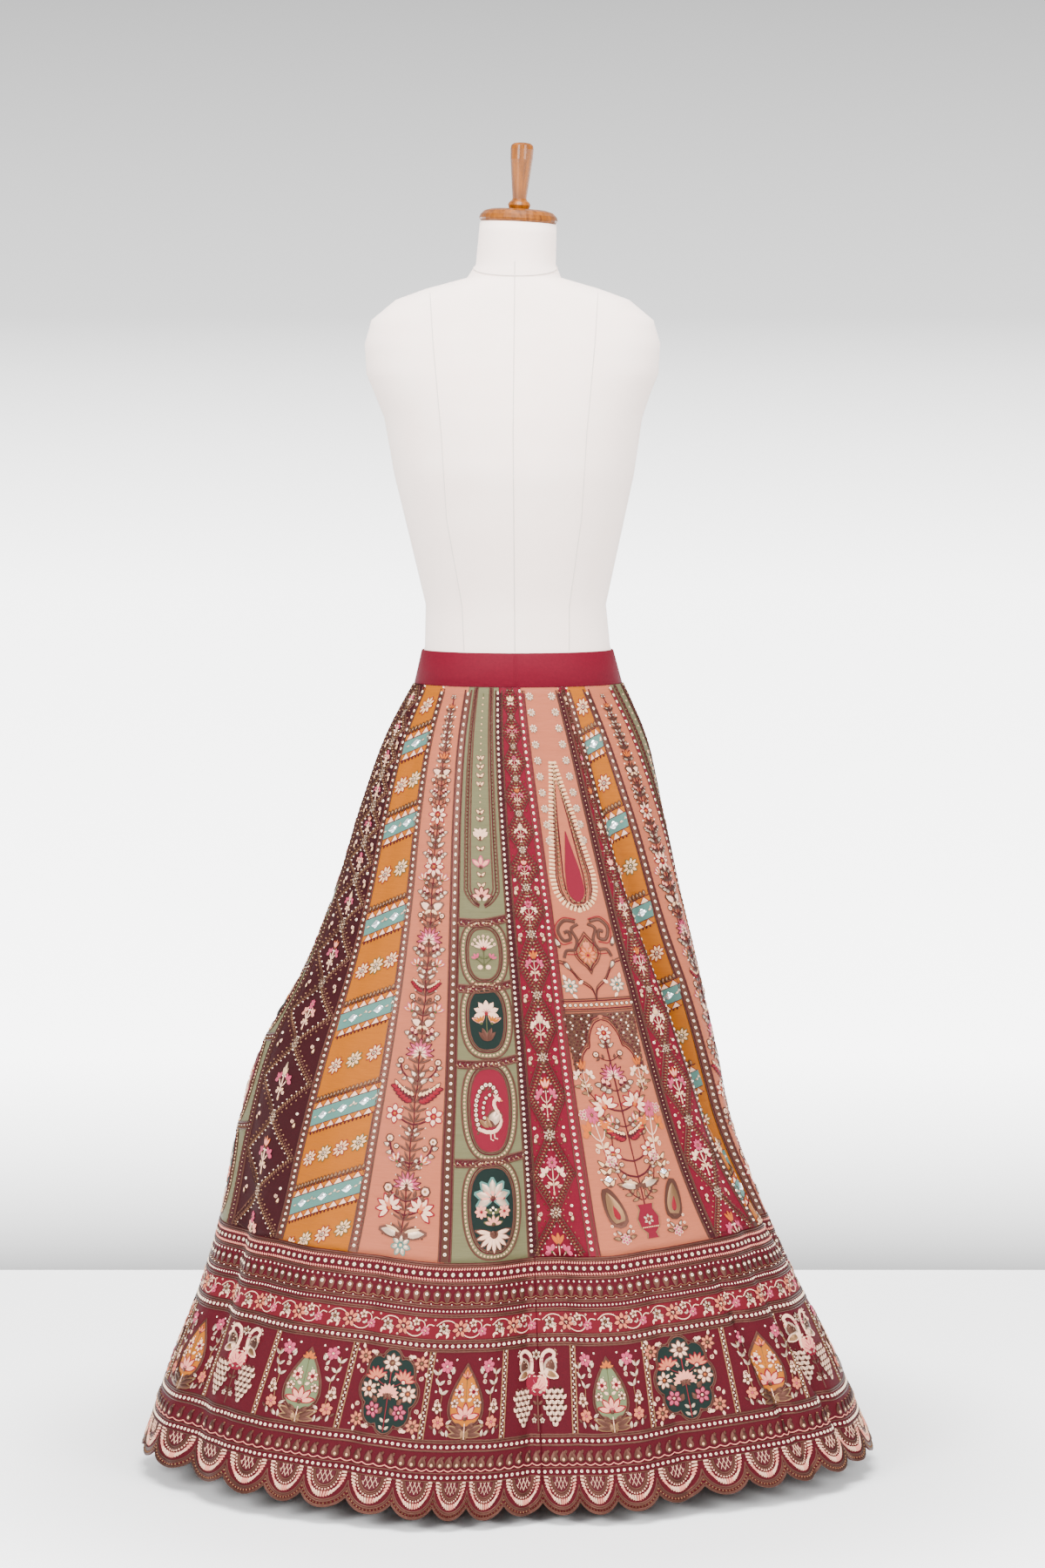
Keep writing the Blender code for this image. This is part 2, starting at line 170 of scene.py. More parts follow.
# ---- Dress form ----
# A padded torso under a fitted cotton cover, cut in panels whose seams run over the shoulder
# and bust. It has no limbs. A turned wooden cap closes its neck, and the stand is hidden.
FORM_LEAN = math.radians(3.0)
FORM_COLUMNS = ("height", "middle", "half_width", "front", "back")
FORM_PROFILE = (
    (1.4985, 0.000, 0.0455, 0.0455, 0.0455),
    (1.450, -0.003, 0.0475, 0.0475, 0.0500),
    (1.434, -0.005, 0.0560, 0.0500, 0.0570),
    (1.421, -0.007, 0.1030, 0.0560, 0.0640),
    (1.408, -0.007, 0.1390, 0.0620, 0.0700),
    (1.384, -0.007, 0.1680, 0.0720, 0.0790),
    (1.356, -0.007, 0.1760, 0.0850, 0.0860),
    (1.320, -0.007, 0.1740, 0.0980, 0.0900),
    (1.298, -0.007, 0.1650, 0.1050, 0.0920),
    (1.268, -0.006, 0.1540, 0.1130, 0.0940),
    (1.200, -0.005, 0.1430, 0.1230, 0.0930),
    (1.130, -0.004, 0.1270, 0.1120, 0.0870),
    (1.046, -0.003, 0.1080, 0.0890, 0.0780),
    (0.996, -0.001, 0.1110, 0.0870, 0.0820),
    (0.948, 0.000, 0.1230, 0.0950, 0.0930),
    (0.890, 0.000, 0.1350, 0.1000, 0.1060),
    (0.820, 0.000, 0.1430, 0.1030, 0.1120),
    (0.765, 0.000, 0.1380, 0.0950, 0.1030),
    (0.742, 0.000, 0.1200, 0.0800, 0.0880),
)
FORM_SEAMS = (
    ("front_left_seam", ((1.415, -0.104), (1.356, -0.100), (1.25, -0.090), (1.15, -0.084), (1.046, -0.066),
                         (0.994, -0.064))),
    ("front_middle_seam", ((1.452, -0.004), (1.25, -0.006), (0.994, -0.004))),
    ("front_right_seam", ((1.415, 0.094), (1.356, 0.090), (1.25, 0.080), (1.15, 0.074), (1.046, 0.060),
                          (0.994, 0.060))),
)
NECK_SEAM_Z = 1.447
NECK_SEAM_DIP = 0.012
# The neck slants more and more over this height, up to its cap.
NECK_SLANT_Z = 1.45
NECK_SLANT_TALL = 0.0485


def column(table, names, name):
    """One named column of a table, as an array."""
    return np.array([row[names.index(name)] for row in table], float)


def smooth_read(at, knots, values):
    """Cubic curve through the rows, whose slope at a row comes from the rows beside it."""
    at = np.clip(at, knots[0], knots[-1])
    slopes = np.gradient(values, knots)
    low = np.clip(np.searchsorted(knots, at) - 1, 0, len(knots) - 2)
    step = knots[low + 1] - knots[low]
    t = (at - knots[low]) / step
    return ((1 + 2 * t) * (1 - t) ** 2 * values[low] + t * (1 - t) ** 2 * step * slopes[low]
            + t * t * (3 - 2 * t) * values[low + 1] + t * t * (t - 1) * step * slopes[low + 1])


def four_sided(reach, height, angle):
    """The reaches to the side and to the front or back that hold at that angle."""
    side = np.where(np.sin(angle) < 0, reach(height, "left"), reach(height, "right"))
    end = np.where(np.cos(angle) > 0, reach(height, "front"), reach(height, "back"))
    return side, end


def form_reach(height, side):
    """Straight between the profile's rows: the reach to that side of the form."""
    knots = column(FORM_PROFILE, FORM_COLUMNS, "height")[::-1]
    middle, half, front, back = (
        np.interp(height, knots, column(FORM_PROFILE, FORM_COLUMNS, name)[::-1])
        for name in FORM_COLUMNS[1:])
    return {"left": half - middle, "right": half + middle, "front": front, "back": back}[side]


def form_point(height, angle, outward=0.0):
    """An ellipse of its own in each quarter: x = side sin a, y = -end cos a."""
    side, end = four_sided(form_reach, height, angle)
    normal = np.stack((end * np.sin(angle), -side * np.cos(angle), 0 * angle * height), axis=-1)
    normal = normal / np.linalg.norm(normal, axis=-1, keepdims=True)
    share = np.clip((height - NECK_SLANT_Z) / NECK_SLANT_TALL, 0, 1)
    slant = -np.tan(FORM_LEAN) * side * np.sin(angle) * share
    point = np.stack((side * np.sin(angle), -end * np.cos(angle), height + slant), axis=-1)
    return point + outward * normal


def grid_triangles(rows, columns, start=0, flip=False, closed=False):
    """Two triangles for each cell of a grid of points numbered row by row. A closed grid
    joins its last column to its first."""
    number = start + np.arange(rows * columns).reshape(rows, columns)
    if closed:
        number = np.concatenate((number, number[:, :1]), axis=1)
    a, b = number[:-1, :-1].ravel(), number[1:, :-1].ravel()
    c, d = number[1:, 1:].ravel(), number[:-1, 1:].ravel()
    faces = np.concatenate((np.stack((a, b, c), 1), np.stack((a, c, d), 1)))
    return faces[:, ::-1] if flip else faces


# Cotton drill, washed and fitted: matt with a weak sheen from its nap. Its 0.4 mm thread is
# drawn at 1.6 mm so that it shows.
cotton = new_finish("cotton_drill_cover", {
    "Base Color": colour_of("#FAE6DC"), "Roughness": 0.9, "Specular IOR Level": 0.15,
    "Sheen Weight": 0.25, "Sheen Roughness": 0.5})
tree = cotton.node_tree
place = add_node(tree, "ShaderNodeTexCoord").outputs["Object"]
slub = add_node(tree, "ShaderNodeTexNoise", {"Vector": add_node(
    tree, "ShaderNodeMapping", {"Vector": place, "Scale": (620, 620, 90)}).outputs[0],
    "Scale": 1.0, "Detail": 2.0})
tone = add_node(tree, "ShaderNodeTexNoise", {"Vector": place, "Scale": 26.0, "Detail": 3.0})
tint = add_node(tree, "ShaderNodeMix", {
    "Factor": tone.outputs["Fac"], "A": colour_of("#F6E0D6"), "B": colour_of("#FCEAE0")}, data_type="RGBA")
tree.links.new(tint.outputs["Result"], tree.nodes["Principled BSDF"].inputs["Base Color"])
weave = add_node(tree, "ShaderNodeBump", {
    "Height": slub.outputs["Fac"], "Strength": 0.25, "Distance": 0.0005})
tree.links.new(weave.outputs[0], tree.nodes["Principled BSDF"].inputs["Normal"])
seam_thread = new_finish("cotton_seam_thread", {
    "Base Color": colour_of("#D2C6BF"), "Roughness": 0.9, "Specular IOR Level": 0.2})


def add_form_cover():
    """The profile's rings, closed by flat ends, with three rows between each pair of rows."""
    knots = column(FORM_PROFILE, FORM_COLUMNS, "height")
    heights = np.interp(np.arange(0, len(knots) - 1 + 1e-6, 0.25), np.arange(len(knots)), knots)
    angles = np.linspace(0, 2 * math.pi, 120, endpoint=False)
    points = form_point(heights[:, None], angles[None, :])
    rows, columns = points.shape[:2]
    ends = np.stack((points[0].mean(0), points[-1].mean(0)))
    ring, after = np.arange(columns), (np.arange(columns) + 1) % columns
    top = np.stack((ring, after, np.full(columns, rows * columns)), 1)
    last = (rows - 1) * columns
    foot = np.stack((last + after, last + ring, np.full(columns, rows * columns + 1)), 1)
    faces = np.concatenate((grid_triangles(rows, columns, closed=True), top, foot))
    return put_on_body("form_cover", np.concatenate((points.reshape(-1, 3), ends)), faces, [cotton])


cover = add_form_cover()
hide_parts("form_torso")


def add_form_seam(name, path, radius):
    """A raised seam: a six-sided tube, with a ring of points square to the path at each of its
    points."""
    along = np.gradient(path, axis=0)
    along = along / np.linalg.norm(along, axis=1, keepdims=True)
    first = np.cross(along, np.array([0.0, 1.0, 0.2]))
    first = first / np.linalg.norm(first, axis=1, keepdims=True)
    second = np.cross(along, first)
    turn = np.linspace(0, 2 * math.pi, 6, endpoint=False)[None, :, None]
    tube = path[:, None] + radius * (first[:, None] * np.cos(turn) + second[:, None] * np.sin(turn))
    faces = grid_triangles(*tube.shape[:2], closed=True)
    put_on_body(name, tube.reshape(-1, 3), faces, [seam_thread])


for name, stops in FORM_SEAMS:
    heights = np.linspace(stops[0][0], stops[-1][0], 60)
    across = np.interp(-heights, [-stop[0] for stop in stops], [stop[1] for stop in stops])
    reach = np.where(across < 0, form_reach(heights, "left"), form_reach(heights, "right"))
    add_form_seam("form_" + name, form_point(heights, np.arcsin(across / reach), 0.0001), 0.0006)
# The neck seam dips in front.
turns = np.linspace(0, 2 * math.pi, 90)
neck_heights = NECK_SEAM_Z - NECK_SEAM_DIP * np.cos(turns) * (np.cos(turns) > 0)
add_form_seam("form_neck_seam", form_point(neck_heights, turns, 0.0003), 0.0007)

# Turned sheesham under a clear varnish: close grain along the piece, with a soft gloss coat.
wood = new_finish("varnished_turned_wood", {
    "Base Color": colour_of("#6E3A06"), "Roughness": 0.35, "Specular IOR Level": 0.2,
    "Coat Weight": 0.25, "Coat Roughness": 0.06})
tree = wood.node_tree
place = add_node(tree, "ShaderNodeTexCoord").outputs["Object"]
streaks = add_node(tree, "ShaderNodeTexNoise", {"Vector": add_node(
    tree, "ShaderNodeMapping", {"Vector": place, "Scale": (160, 160, 14)}).outputs[0],
    "Scale": 1.0, "Detail": 4.0, "Roughness": 0.6})
grain = add_node(tree, "ShaderNodeValToRGB", {0: streaks.outputs["Fac"]})
grain.color_ramp.elements[0].position = 0.30
grain.color_ramp.elements[0].color = colour_of("#452002")
grain.color_ramp.elements[1].position = 0.68
grain.color_ramp.elements[1].color = colour_of("#844803")
tree.links.new(grain.outputs[0], tree.nodes["Principled BSDF"].inputs["Base Color"])
for node in ("form_neck_cap", "form_finial", "stand_pole", "stand_base"):
    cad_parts[node].data.materials.clear()
    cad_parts[node].data.materials.append(wood)

# ---- Kalis: the cloth ----
# Twenty gores of dupion silk and silk velvet, narrow at the waist, are sewn to each other. They
# hang from the band in the deep folds that the solids have, and in shallower creases of their
# own, which come from the weight of the embroidery.
CLOTH_WALL = 0.0022
SEAM_GAP = 0.0003
HEM_Z = 0.012
BORDER_TOP_Z = 0.292
BAND_BOTTOM_Z = 0.952
BAND_TOP_Z = 0.992
SIDE_LIFT = 0.014
SIDE_LIFT_ENDS_Z = 0.70
SKIRT_COLUMNS = ("height", "left", "right", "front", "back")
SKIRT_PROFILE = (
    (0.012, 0.458, 0.432, 0.335, 0.375),
    (0.110, 0.424, 0.390, 0.306, 0.345),
    (0.210, 0.385, 0.343, 0.276, 0.310),
    (0.292, 0.361, 0.304, 0.251, 0.285),
    (0.410, 0.338, 0.260, 0.224, 0.256),
    (0.510, 0.309, 0.240, 0.199, 0.232),
    (0.610, 0.257, 0.219, 0.178, 0.208),
    (0.710, 0.218, 0.197, 0.158, 0.186),
    (0.810, 0.187, 0.175, 0.138, 0.163),
    (0.900, 0.153, 0.148, 0.115, 0.133),
    (0.952, 0.1247, 0.1247, 0.0967, 0.0947),
)
KALI_MIDDLE_Z = 0.560
KALI_COLUMNS = ("cloth", "waist", "middle", "border")
KALIS = (
    ("sage", -102, -99.6, -98), ("maroon", -84, -81, -80), ("mustard", -67.5, -60.4, -61.9),
    ("peach", -52, -42.5, -42.3), ("sage", -34, -23.2, -19.5), ("crimson", -13.5, 0.2, 5.2),
    ("peach", 1.5, 17, 23.2), ("crimson", 27.5, 45, 58), ("mustard", 33, 58.5, 75.4),
    ("peach", 46, 72.1, 90), ("sage", 66, 89.2, 105), ("maroon", 86, 106.2, 120),
    ("mustard", 99, 118.6, 132), ("peach", 119, 138, 151), ("sage", 138, 154.6, 166),
    ("crimson", 158, 171.7, 181), ("peach", 170, 183.7, 193), ("crimson", 193, 207.9, 218),
    ("mustard", 206, 220.3, 230), ("peach", 229, 240.3, 248),
)
# Folds have the solids' depths. A crease starts at its top, is deepest at its full height and
# keeps its foot depth at the hem. A negative depth is a ridge.
FOLD_COLUMNS = ("top", "top_angle", "full", "depth", "foot_angle", "foot_depth", "half_width")
FOLDS = (
    (0.70, 10, 0.30, 0.050, 4, 0.034, 0.068),
    (0.60, 40, 0.29, 0.020, 40, 0.035, 0.160),
    (0.93, 38, 0.50, 0.050, 107, 0.000, 0.018),
    (0.29, 55, 0.16, 0.012, 64, 0.004, 0.010),
    (0.29, 66, 0.15, 0.012, 76, 0.004, 0.010),
    (0.29, 3.0, 0.15, 0.005, 3.0, 0.005, 0.010),
    (0.62, -84, 0.20, 0.012, -68, 0.014, 0.030),
    (0.88, 88, 0.35, 0.035, 112, 0.030, 0.028),
    (0.85, 112, 0.30, 0.040, 134, 0.035, 0.030),
    (0.80, 136, 0.25, 0.030, 154, 0.030, 0.026),
    (0.86, 160, 0.30, 0.042, 177, 0.036, 0.030),
    (0.78, 184, 0.25, 0.030, 198, 0.028, 0.026),
    (0.85, 212, 0.30, 0.040, 222, 0.036, 0.030),
    (0.80, 236, 0.28, 0.034, 243, 0.030, 0.028),
    (0.86, 255, 0.40, 0.030, 262, 0.030, 0.026),
)
CREASES = (
    (0.60, -60, 0.34, 0.005, -63, 0.005, 0.020),
    (0.52, -50, 0.36, -0.003, -52, -0.003, 0.016),
    (0.48, -37, 0.30, 0.004, -35, 0.005, 0.018),
    (0.66, -24, 0.40, -0.002, -22, -0.004, 0.020),
    (0.55, -13, 0.30, 0.003, -11, 0.005, 0.018),
    (0.44, 14, 0.28, 0.003, 15, 0.005, 0.016),
    (0.50, 27, 0.32, -0.002, 28, -0.004, 0.018),
    (0.36, 37, 0.22, 0.004, 38, 0.005, 0.015),
    (0.70, -95, 0.40, 0.007, -98, 0.008, 0.020),
    (0.90, -72, 0.70, 0.003, -74, 0.004, 0.014),
    (0.94, -56, 0.86, 0.0020, -58, 0.000, 0.009),
    (0.94, -40, 0.88, 0.0018, -41, 0.000, 0.008),
    (0.94, -22, 0.87, 0.0018, -22, 0.000, 0.009),
    (0.94, -4, 0.88, 0.0018, -3, 0.000, 0.008),
    (0.94, 14, 0.87, 0.0020, 15, 0.000, 0.009),
    (0.92, 62, 0.70, 0.004, 74, 0.004, 0.014),
)


def skirt_reach(height, side):
    """Smooth curve through the skirt's profile on one side."""
    knots = column(SKIRT_PROFILE, SKIRT_COLUMNS, "height")
    return smooth_read(height, knots, column(SKIRT_PROFILE, SKIRT_COLUMNS, side))


def skirt_radius(height, angle):
    """The oval's distance from the axis in a direction, a quarter ellipse to each side."""
    side, end = four_sided(skirt_reach, height, angle)
    return 1 / np.hypot(np.sin(angle) / side, np.cos(angle) / end)


def drawn_in(table, height, angle, radius):
    """Sum of the table's folds: strength times exp(-(distance from its middle / width)^2)."""
    depth = np.zeros(np.broadcast(height, angle).shape)
    for row in table:
        fold = dict(zip(FOLD_COLUMNS, row))
        middle = np.radians(np.interp(height, (HEM_Z, fold["top"]),
                                      (fold["foot_angle"], fold["top_angle"])))
        turn = (angle - middle + math.pi) % (2 * math.pi) - math.pi
        strength = np.interp(height, (HEM_Z, fold["full"], fold["top"]),
                             (fold["foot_depth"], fold["depth"], 0.0))
        depth = depth + strength * np.exp(-(turn * radius / fold["half_width"]) ** 2)
    return depth


def skirt_point(height, angle):
    """The oval drawn in by folds and creases, lifted towards the hem's two sides."""
    radius = skirt_radius(height, angle)
    drawn = radius - drawn_in(FOLDS + CREASES, height, angle, radius)
    fade = np.clip((SIDE_LIFT_ENDS_Z - height) / (SIDE_LIFT_ENDS_Z - BORDER_TOP_Z), 0, 1)
    lift = SIDE_LIFT * (1 - np.cos(angle) ** 4) * fade * fade * (3 - 2 * fade)
    return np.stack((drawn * np.sin(angle), -drawn * np.cos(angle), height + lift), axis=-1)


def level_normal(height, angle):
    """Square to the cloth and level, from the points a small turn to either side."""
    along = skirt_point(height, angle + 1e-4) - skirt_point(height, angle - 1e-4)
    outward = np.stack((along[..., 1], -along[..., 0], 0 * along[..., 0]), axis=-1)
    return outward / np.linalg.norm(outward, axis=-1, keepdims=True)


def cloth_normal(height, angle):
    """Square to the cloth: the cross product of its directions along and up."""
    along = skirt_point(height, angle + 1e-3) - skirt_point(height, angle - 1e-3)
    up = skirt_point(height + 4e-4, angle) - skirt_point(height - 4e-4, angle)
    normal = np.cross(along, up)
    return normal / np.linalg.norm(normal, axis=-1, keepdims=True)


def seam_angle(seam, height):
    """A seam between kalis: the straight line from its angle at the waist to that at the
    border, and the distance of its middle angle from that line added as a parabola."""
    turns, start = divmod(seam, len(KALIS))
    waist, middle, border = (float(KALIS[start][KALI_COLUMNS.index(name)]) + 360 * turns
                             for name in ("waist", "middle", "border"))
    share = (np.asarray(height) - BORDER_TOP_Z) / (BAND_BOTTOM_Z - BORDER_TOP_Z)
    at = (KALI_MIDDLE_Z - BORDER_TOP_Z) / (BAND_BOTTOM_Z - BORDER_TOP_Z)
    bow = (middle - border - (waist - border) * at) / (at * (1 - at))
    return np.radians(border + (waist - border) * share + bow * share * (1 - share))


def kali_angle(number, share, height):
    """The angle at a share of the way across a kali, 0 at its left seam and 1 at its right."""
    left = seam_angle(number, height)
    return left + (seam_angle(number + 1, height) - left) * share


def woven_finish(name, base, dark, rough, sheen, threads, pucker):
    """Cloth: slubs along the weft colour it and, with softer puckers, raise it."""
    material = new_finish(name, {"Base Color": colour_of(base), "Roughness": rough, "Sheen Weight": sheen,
                                 "Sheen Roughness": 0.4, "Sheen Tint": colour_of(base),
                                 "Specular IOR Level": 0.12})
    tree = material.node_tree
    place = add_node(tree, "ShaderNodeUVMap", uv_map="cloth").outputs["UV"]
    slub = add_node(tree, "ShaderNodeTexNoise", {"Vector": add_node(
        tree, "ShaderNodeMapping", {"Vector": place, "Scale": threads}).outputs[0],
        "Scale": 1.0, "Detail": 3.0, "Roughness": 0.6})
    soft = add_node(tree, "ShaderNodeTexNoise", {"Vector": add_node(
        tree, "ShaderNodeMapping", {"Vector": place, "Scale": (28, 75, 1)}).outputs[0],
        "Scale": 1.0, "Detail": 2.0})
    tint = add_node(tree, "ShaderNodeMix", {
        "Factor": slub.outputs["Fac"], "A": colour_of(dark), "B": colour_of(base)}, data_type="RGBA")
    tree.links.new(tint.outputs["Result"], tree.nodes["Principled BSDF"].inputs["Base Color"])
    fine = add_node(tree, "ShaderNodeBump", {
        "Height": slub.outputs["Fac"], "Strength": 0.35, "Distance": 0.0006})
    wide = add_node(tree, "ShaderNodeBump", {
        "Height": soft.outputs["Fac"], "Strength": pucker, "Distance": 0.003,
        "Normal": fine.outputs[0]})
    tree.links.new(wide.outputs[0], tree.nodes["Principled BSDF"].inputs["Normal"])
    return material


# Dupion silk has slubs along the weft, about 1 mm apart and some centimetres long. Its bump
# is drawn at 1.5 mm so that it shows. Velvet's nap hides its weave and catches light edge on.
SILK_THREADS = (45, 650, 1)
NAP = (300, 300, 1)
CLOTHS = {
    "mustard": woven_finish("dupion_silk_mustard", "#8E4C00", "#7C4000", 0.55, 0.02, SILK_THREADS, 0.5),
    "peach": woven_finish("dupion_silk_peach", "#98523A", "#86462F", 0.55, 0.02, SILK_THREADS, 0.5),
    "sage": woven_finish("dupion_silk_sage", "#5D593E", "#4C4931", 0.55, 0.02, SILK_THREADS, 0.5),
    "crimson": woven_finish("silk_velvet_crimson", "#5E0018", "#4C0013", 0.65, 0.06, NAP, 0.3),
    "maroon": woven_finish("silk_velvet_maroon", "#2A0106", "#200104", 0.70, 0.05, NAP, 0.3),
    "wine": woven_finish("silk_velvet_wine", "#42000C", "#34000A", 0.70, 0.05, NAP, 0.3),
}


def give_cloth_map(made, flat):
    """The piece's own UV map, in metres: along the weft, and up the warp, at each point."""
    layer = made.data.uv_layers.new(name="cloth")
    corners = np.empty(len(made.data.loops), np.int32)
    made.data.loops.foreach_get("vertex_index", corners)
    layer.data.foreach_set("uv", flat[corners].astype(np.float32).ravel())


def cloth_shell(name, height, angle, finish):
    """Two faces a wall apart, from the outer grid and its level normals, closed all round.
    With it come the size of its cut, which is its greatest width by its length, and its area."""
    outer = skirt_point(height, angle)
    inner = outer - CLOTH_WALL * level_normal(height, angle)
    rows, columns = height.shape
    count = rows * columns
    number = np.arange(count).reshape(rows, columns)
    edge = np.concatenate((number[:, 0], number[-1, 1:], number[-2::-1, -1], number[0, -2::-1]))
    here, after = edge[:-1], edge[1:]
    rim = np.concatenate((np.stack((here, here + count, after), 1),
                          np.stack((after, here + count, after + count), 1)))
    faces = np.concatenate((grid_triangles(rows, columns),
                            grid_triangles(rows, columns, count, flip=True), rim))
    made = put_on_body(name, np.concatenate((outer.reshape(-1, 3), inner.reshape(-1, 3))), faces, [finish])
    arc = np.zeros(height.shape)
    arc[:, 1:] = np.cumsum(np.linalg.norm(np.diff(outer, axis=1), axis=2), axis=1)
    arc = arc - arc[:, -1:] / 2
    give_cloth_map(made, np.tile(np.stack((arc, height), axis=-1).reshape(-1, 2), (2, 1)))
    top, foot = 2 * arc[0, -1], 2 * arc[-1, -1]
    length = np.linalg.norm(np.diff(outer[:, columns // 2], axis=0), axis=1).sum()
    return made, (round(max(top, foot), 3), round(length, 3)), round((top + foot) / 2 * length, 4)


# A kali has this many rows of points, and a column for each step of its width at this height.
# Its gap is worked out at this distance from the axis.
KALI_ROWS = 84
KALI_STEP = 0.0065
KALI_WIDTH_Z = 0.30
KALI_RADIUS = 0.2
for number, (cloth, _, _, _) in enumerate(KALIS):
    heights = np.linspace(BAND_BOTTOM_Z - SEAM_GAP / 2, BORDER_TOP_Z + SEAM_GAP / 2, KALI_ROWS)[:, None]
    left, middle, right = (kali_angle(number, share, KALI_WIDTH_Z) for share in (0, 0.5, 1))
    width = skirt_radius(KALI_WIDTH_Z, middle) * (right - left)
    share = np.linspace(0, 1, max(10, int(width / KALI_STEP)))[None, :]
    angle = kali_angle(number, share, heights) + SEAM_GAP / 2 / KALI_RADIUS * (1 - 2 * share)
    node = f"kali_{number + 1:02d}_{cloth}"
    shell, cut, area = cloth_shell(f"{node}_cloth", heights + 0 * angle, angle, CLOTHS[cloth])
    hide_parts(node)

# ---- Waistband ----
# A straight band of crimson velvet over a stiff lining, 40 mm deep, closed round the form's
# waist. The kalis are sewn to its lower edge, so it carries the skirt.
BAND_WALL = 0.0024
BAND_CLEARANCE = 0.0004
BAND_RADIUS = 0.11
foot = BAND_BOTTOM_Z + SEAM_GAP / 2
turns = np.linspace(0, 2 * math.pi, 120, endpoint=False)
corners = ((BAND_TOP_Z - 0.0006, 0.0), (BAND_TOP_Z, 0.0006), (BAND_TOP_Z, BAND_WALL - 0.0007),
           (BAND_TOP_Z - 0.0008, BAND_WALL), (foot + 0.0006, BAND_WALL),
           (foot, BAND_WALL - 0.0006), (foot, 0.0))
points = np.stack([form_point(np.full(turns.shape, height), turns, BAND_CLEARANCE + wall)
                   for height, wall in corners])
faces = grid_triangles(len(corners) + 1, len(turns), closed=True) % (len(corners) * len(turns))
band = put_on_body("waistband_velvet", points.reshape(-1, 3), faces, [CLOTHS["crimson"]])
flat = np.stack((np.broadcast_to(turns * BAND_RADIUS, points.shape[:2]), points[..., 2]), axis=-1)
give_cloth_map(band, flat.reshape(-1, 2))
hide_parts("waistband")

# ---- Border: the velvet ----
# Four lengths of silk velvet, 280 mm deep, sewn to the kalis' foot and to each other. The hem
# is cut in 46 scallops.
BORDER_LENGTHS = (
    ("border_front_right", 9.5, 21.5),
    ("border_back_right", 21.5, 32.5),
    ("border_back_left", 32.5, 44.5),
    ("border_front_left", 44.5, 55.5),
)
SCALLOP_COUNT = 46
SCALLOP_RADIUS = 0.037
SCALLOP_HALF_WIDTH = 0.0285
SCALLOP_COLUMNS = ("scallop", "angle")
SCALLOP_PLACES = (
    (0, -73.5), (2, -53.5), (4, -38.5), (6, -20.6), (8, -7.2), (10, 9.9), (12, 25.6),
    (14, 46.0), (16, 61.5), (18, 77.0), (22, 107.0), (26, 137.0), (30, 167.0), (34, 197.0),
    (38, 227.0), (42, 257.0), (46, 286.5),
)


def scallop_angle(scallop):
    """A place counted in scallops to its angle: smooth through the table, which repeats."""
    names, angles = (column(SCALLOP_PLACES, SCALLOP_COLUMNS, name) for name in SCALLOP_COLUMNS)
    knots = np.concatenate((names[-5:-1] - SCALLOP_COUNT, names, names[1:5] + SCALLOP_COUNT))
    values = np.concatenate((angles[-5:-1] - 360, angles, angles[1:5] + 360))
    turns = np.floor(scallop / SCALLOP_COUNT)
    within = scallop - turns * SCALLOP_COUNT
    return np.radians(smooth_read(within, knots, values) + 360 * turns)


def hem_height(scallop):
    """The cut edge: an arc of a circle in each scallop."""
    across = 2 * SCALLOP_HALF_WIDTH * ((scallop + 0.5) % 1 - 0.5)
    return HEM_Z + SCALLOP_RADIUS - np.sqrt(SCALLOP_RADIUS ** 2 - across ** 2)


# A border length has this many rows of points, and columns to a scallop. Its gap is worked out
# at this distance from the axis.
BORDER_ROWS = 33
BORDER_COLUMNS = 10
BORDER_RADIUS = 0.33
for name, start, end in BORDER_LENGTHS:
    scallop = np.linspace(start, end, round((end - start) * BORDER_COLUMNS) + 1)
    angle = scallop_angle(scallop)
    angle[0] += SEAM_GAP / 2 / BORDER_RADIUS
    angle[-1] -= SEAM_GAP / 2 / BORDER_RADIUS
    share = np.linspace(0, 1, BORDER_ROWS)[:, None]
    height = BORDER_TOP_Z - SEAM_GAP / 2 + (hem_height(scallop) - BORDER_TOP_Z) * share
    shell, cut, area = cloth_shell(f"{name}_velvet", height, angle + 0 * height, CLOTHS["wine"])
    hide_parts(name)

# ---- Embroidery: the stitches ----
# Zardozi and resham work: metal cord, ring sequins, glass pearls, mirrors and silk floss in
# satin stitch. Each stitch here is a small raised shape on a flat plan in millimetres (u across,
# v up, h out from the cloth), which is then laid on the cloth.
MM = 0.001
METAL_THREADS = {
    "bronze": ("antique_zari_cord", "#4A2E26", 0.9, 0.45),
    "gold": ("pale_zari_cord", "#74543A", 0.9, 0.4),
    "silver": ("silver_zari_wire", "#A88E7A", 0.9, 0.38),
    "sequin": ("pressed_foil_sequin", "#EBD2B6", 0.2, 0.22),
    "mirror": ("silvered_mirror_glass", "#E6EAEC", 0.85, 0.08),
}
SILK_FLOSSES = {
    "pearl": ("glass_pearl_cream", "#C49A72", 0.25),
    "white": ("silk_floss_ivory", "#CCA086", 0.5),
    "pink": ("silk_floss_pink", "#98364E", 0.5),
    "blush": ("silk_floss_blush", "#C47A68", 0.5),
    "orange": ("silk_floss_orange", "#9C4A14", 0.5),
    "coral": ("silk_floss_coral", "#A85A40", 0.5),
    "red": ("silk_floss_red", "#6A0014", 0.5),
    "wine": ("silk_floss_wine", "#3A000B", 0.55),
    "leaf": ("silk_floss_leaf", "#3E4024", 0.55),
    "claret": ("velvet_patch_claret", "#4E000E", 0.7),
    "dark_green": ("velvet_patch_green", "#071612", 0.75),
    "teal": ("silk_patch_teal", "#42645C", 0.5),
    "mustard": ("silk_patch_mustard", "#8E4C00", 0.5),
    "sage": ("silk_patch_sage", "#545C3E", 0.55),
    "crimson": ("velvet_patch_crimson", "#5E0018", 0.6),
    "maroon": ("velvet_patch_maroon", "#2A0106", 0.7),
}
FINISHES = {}
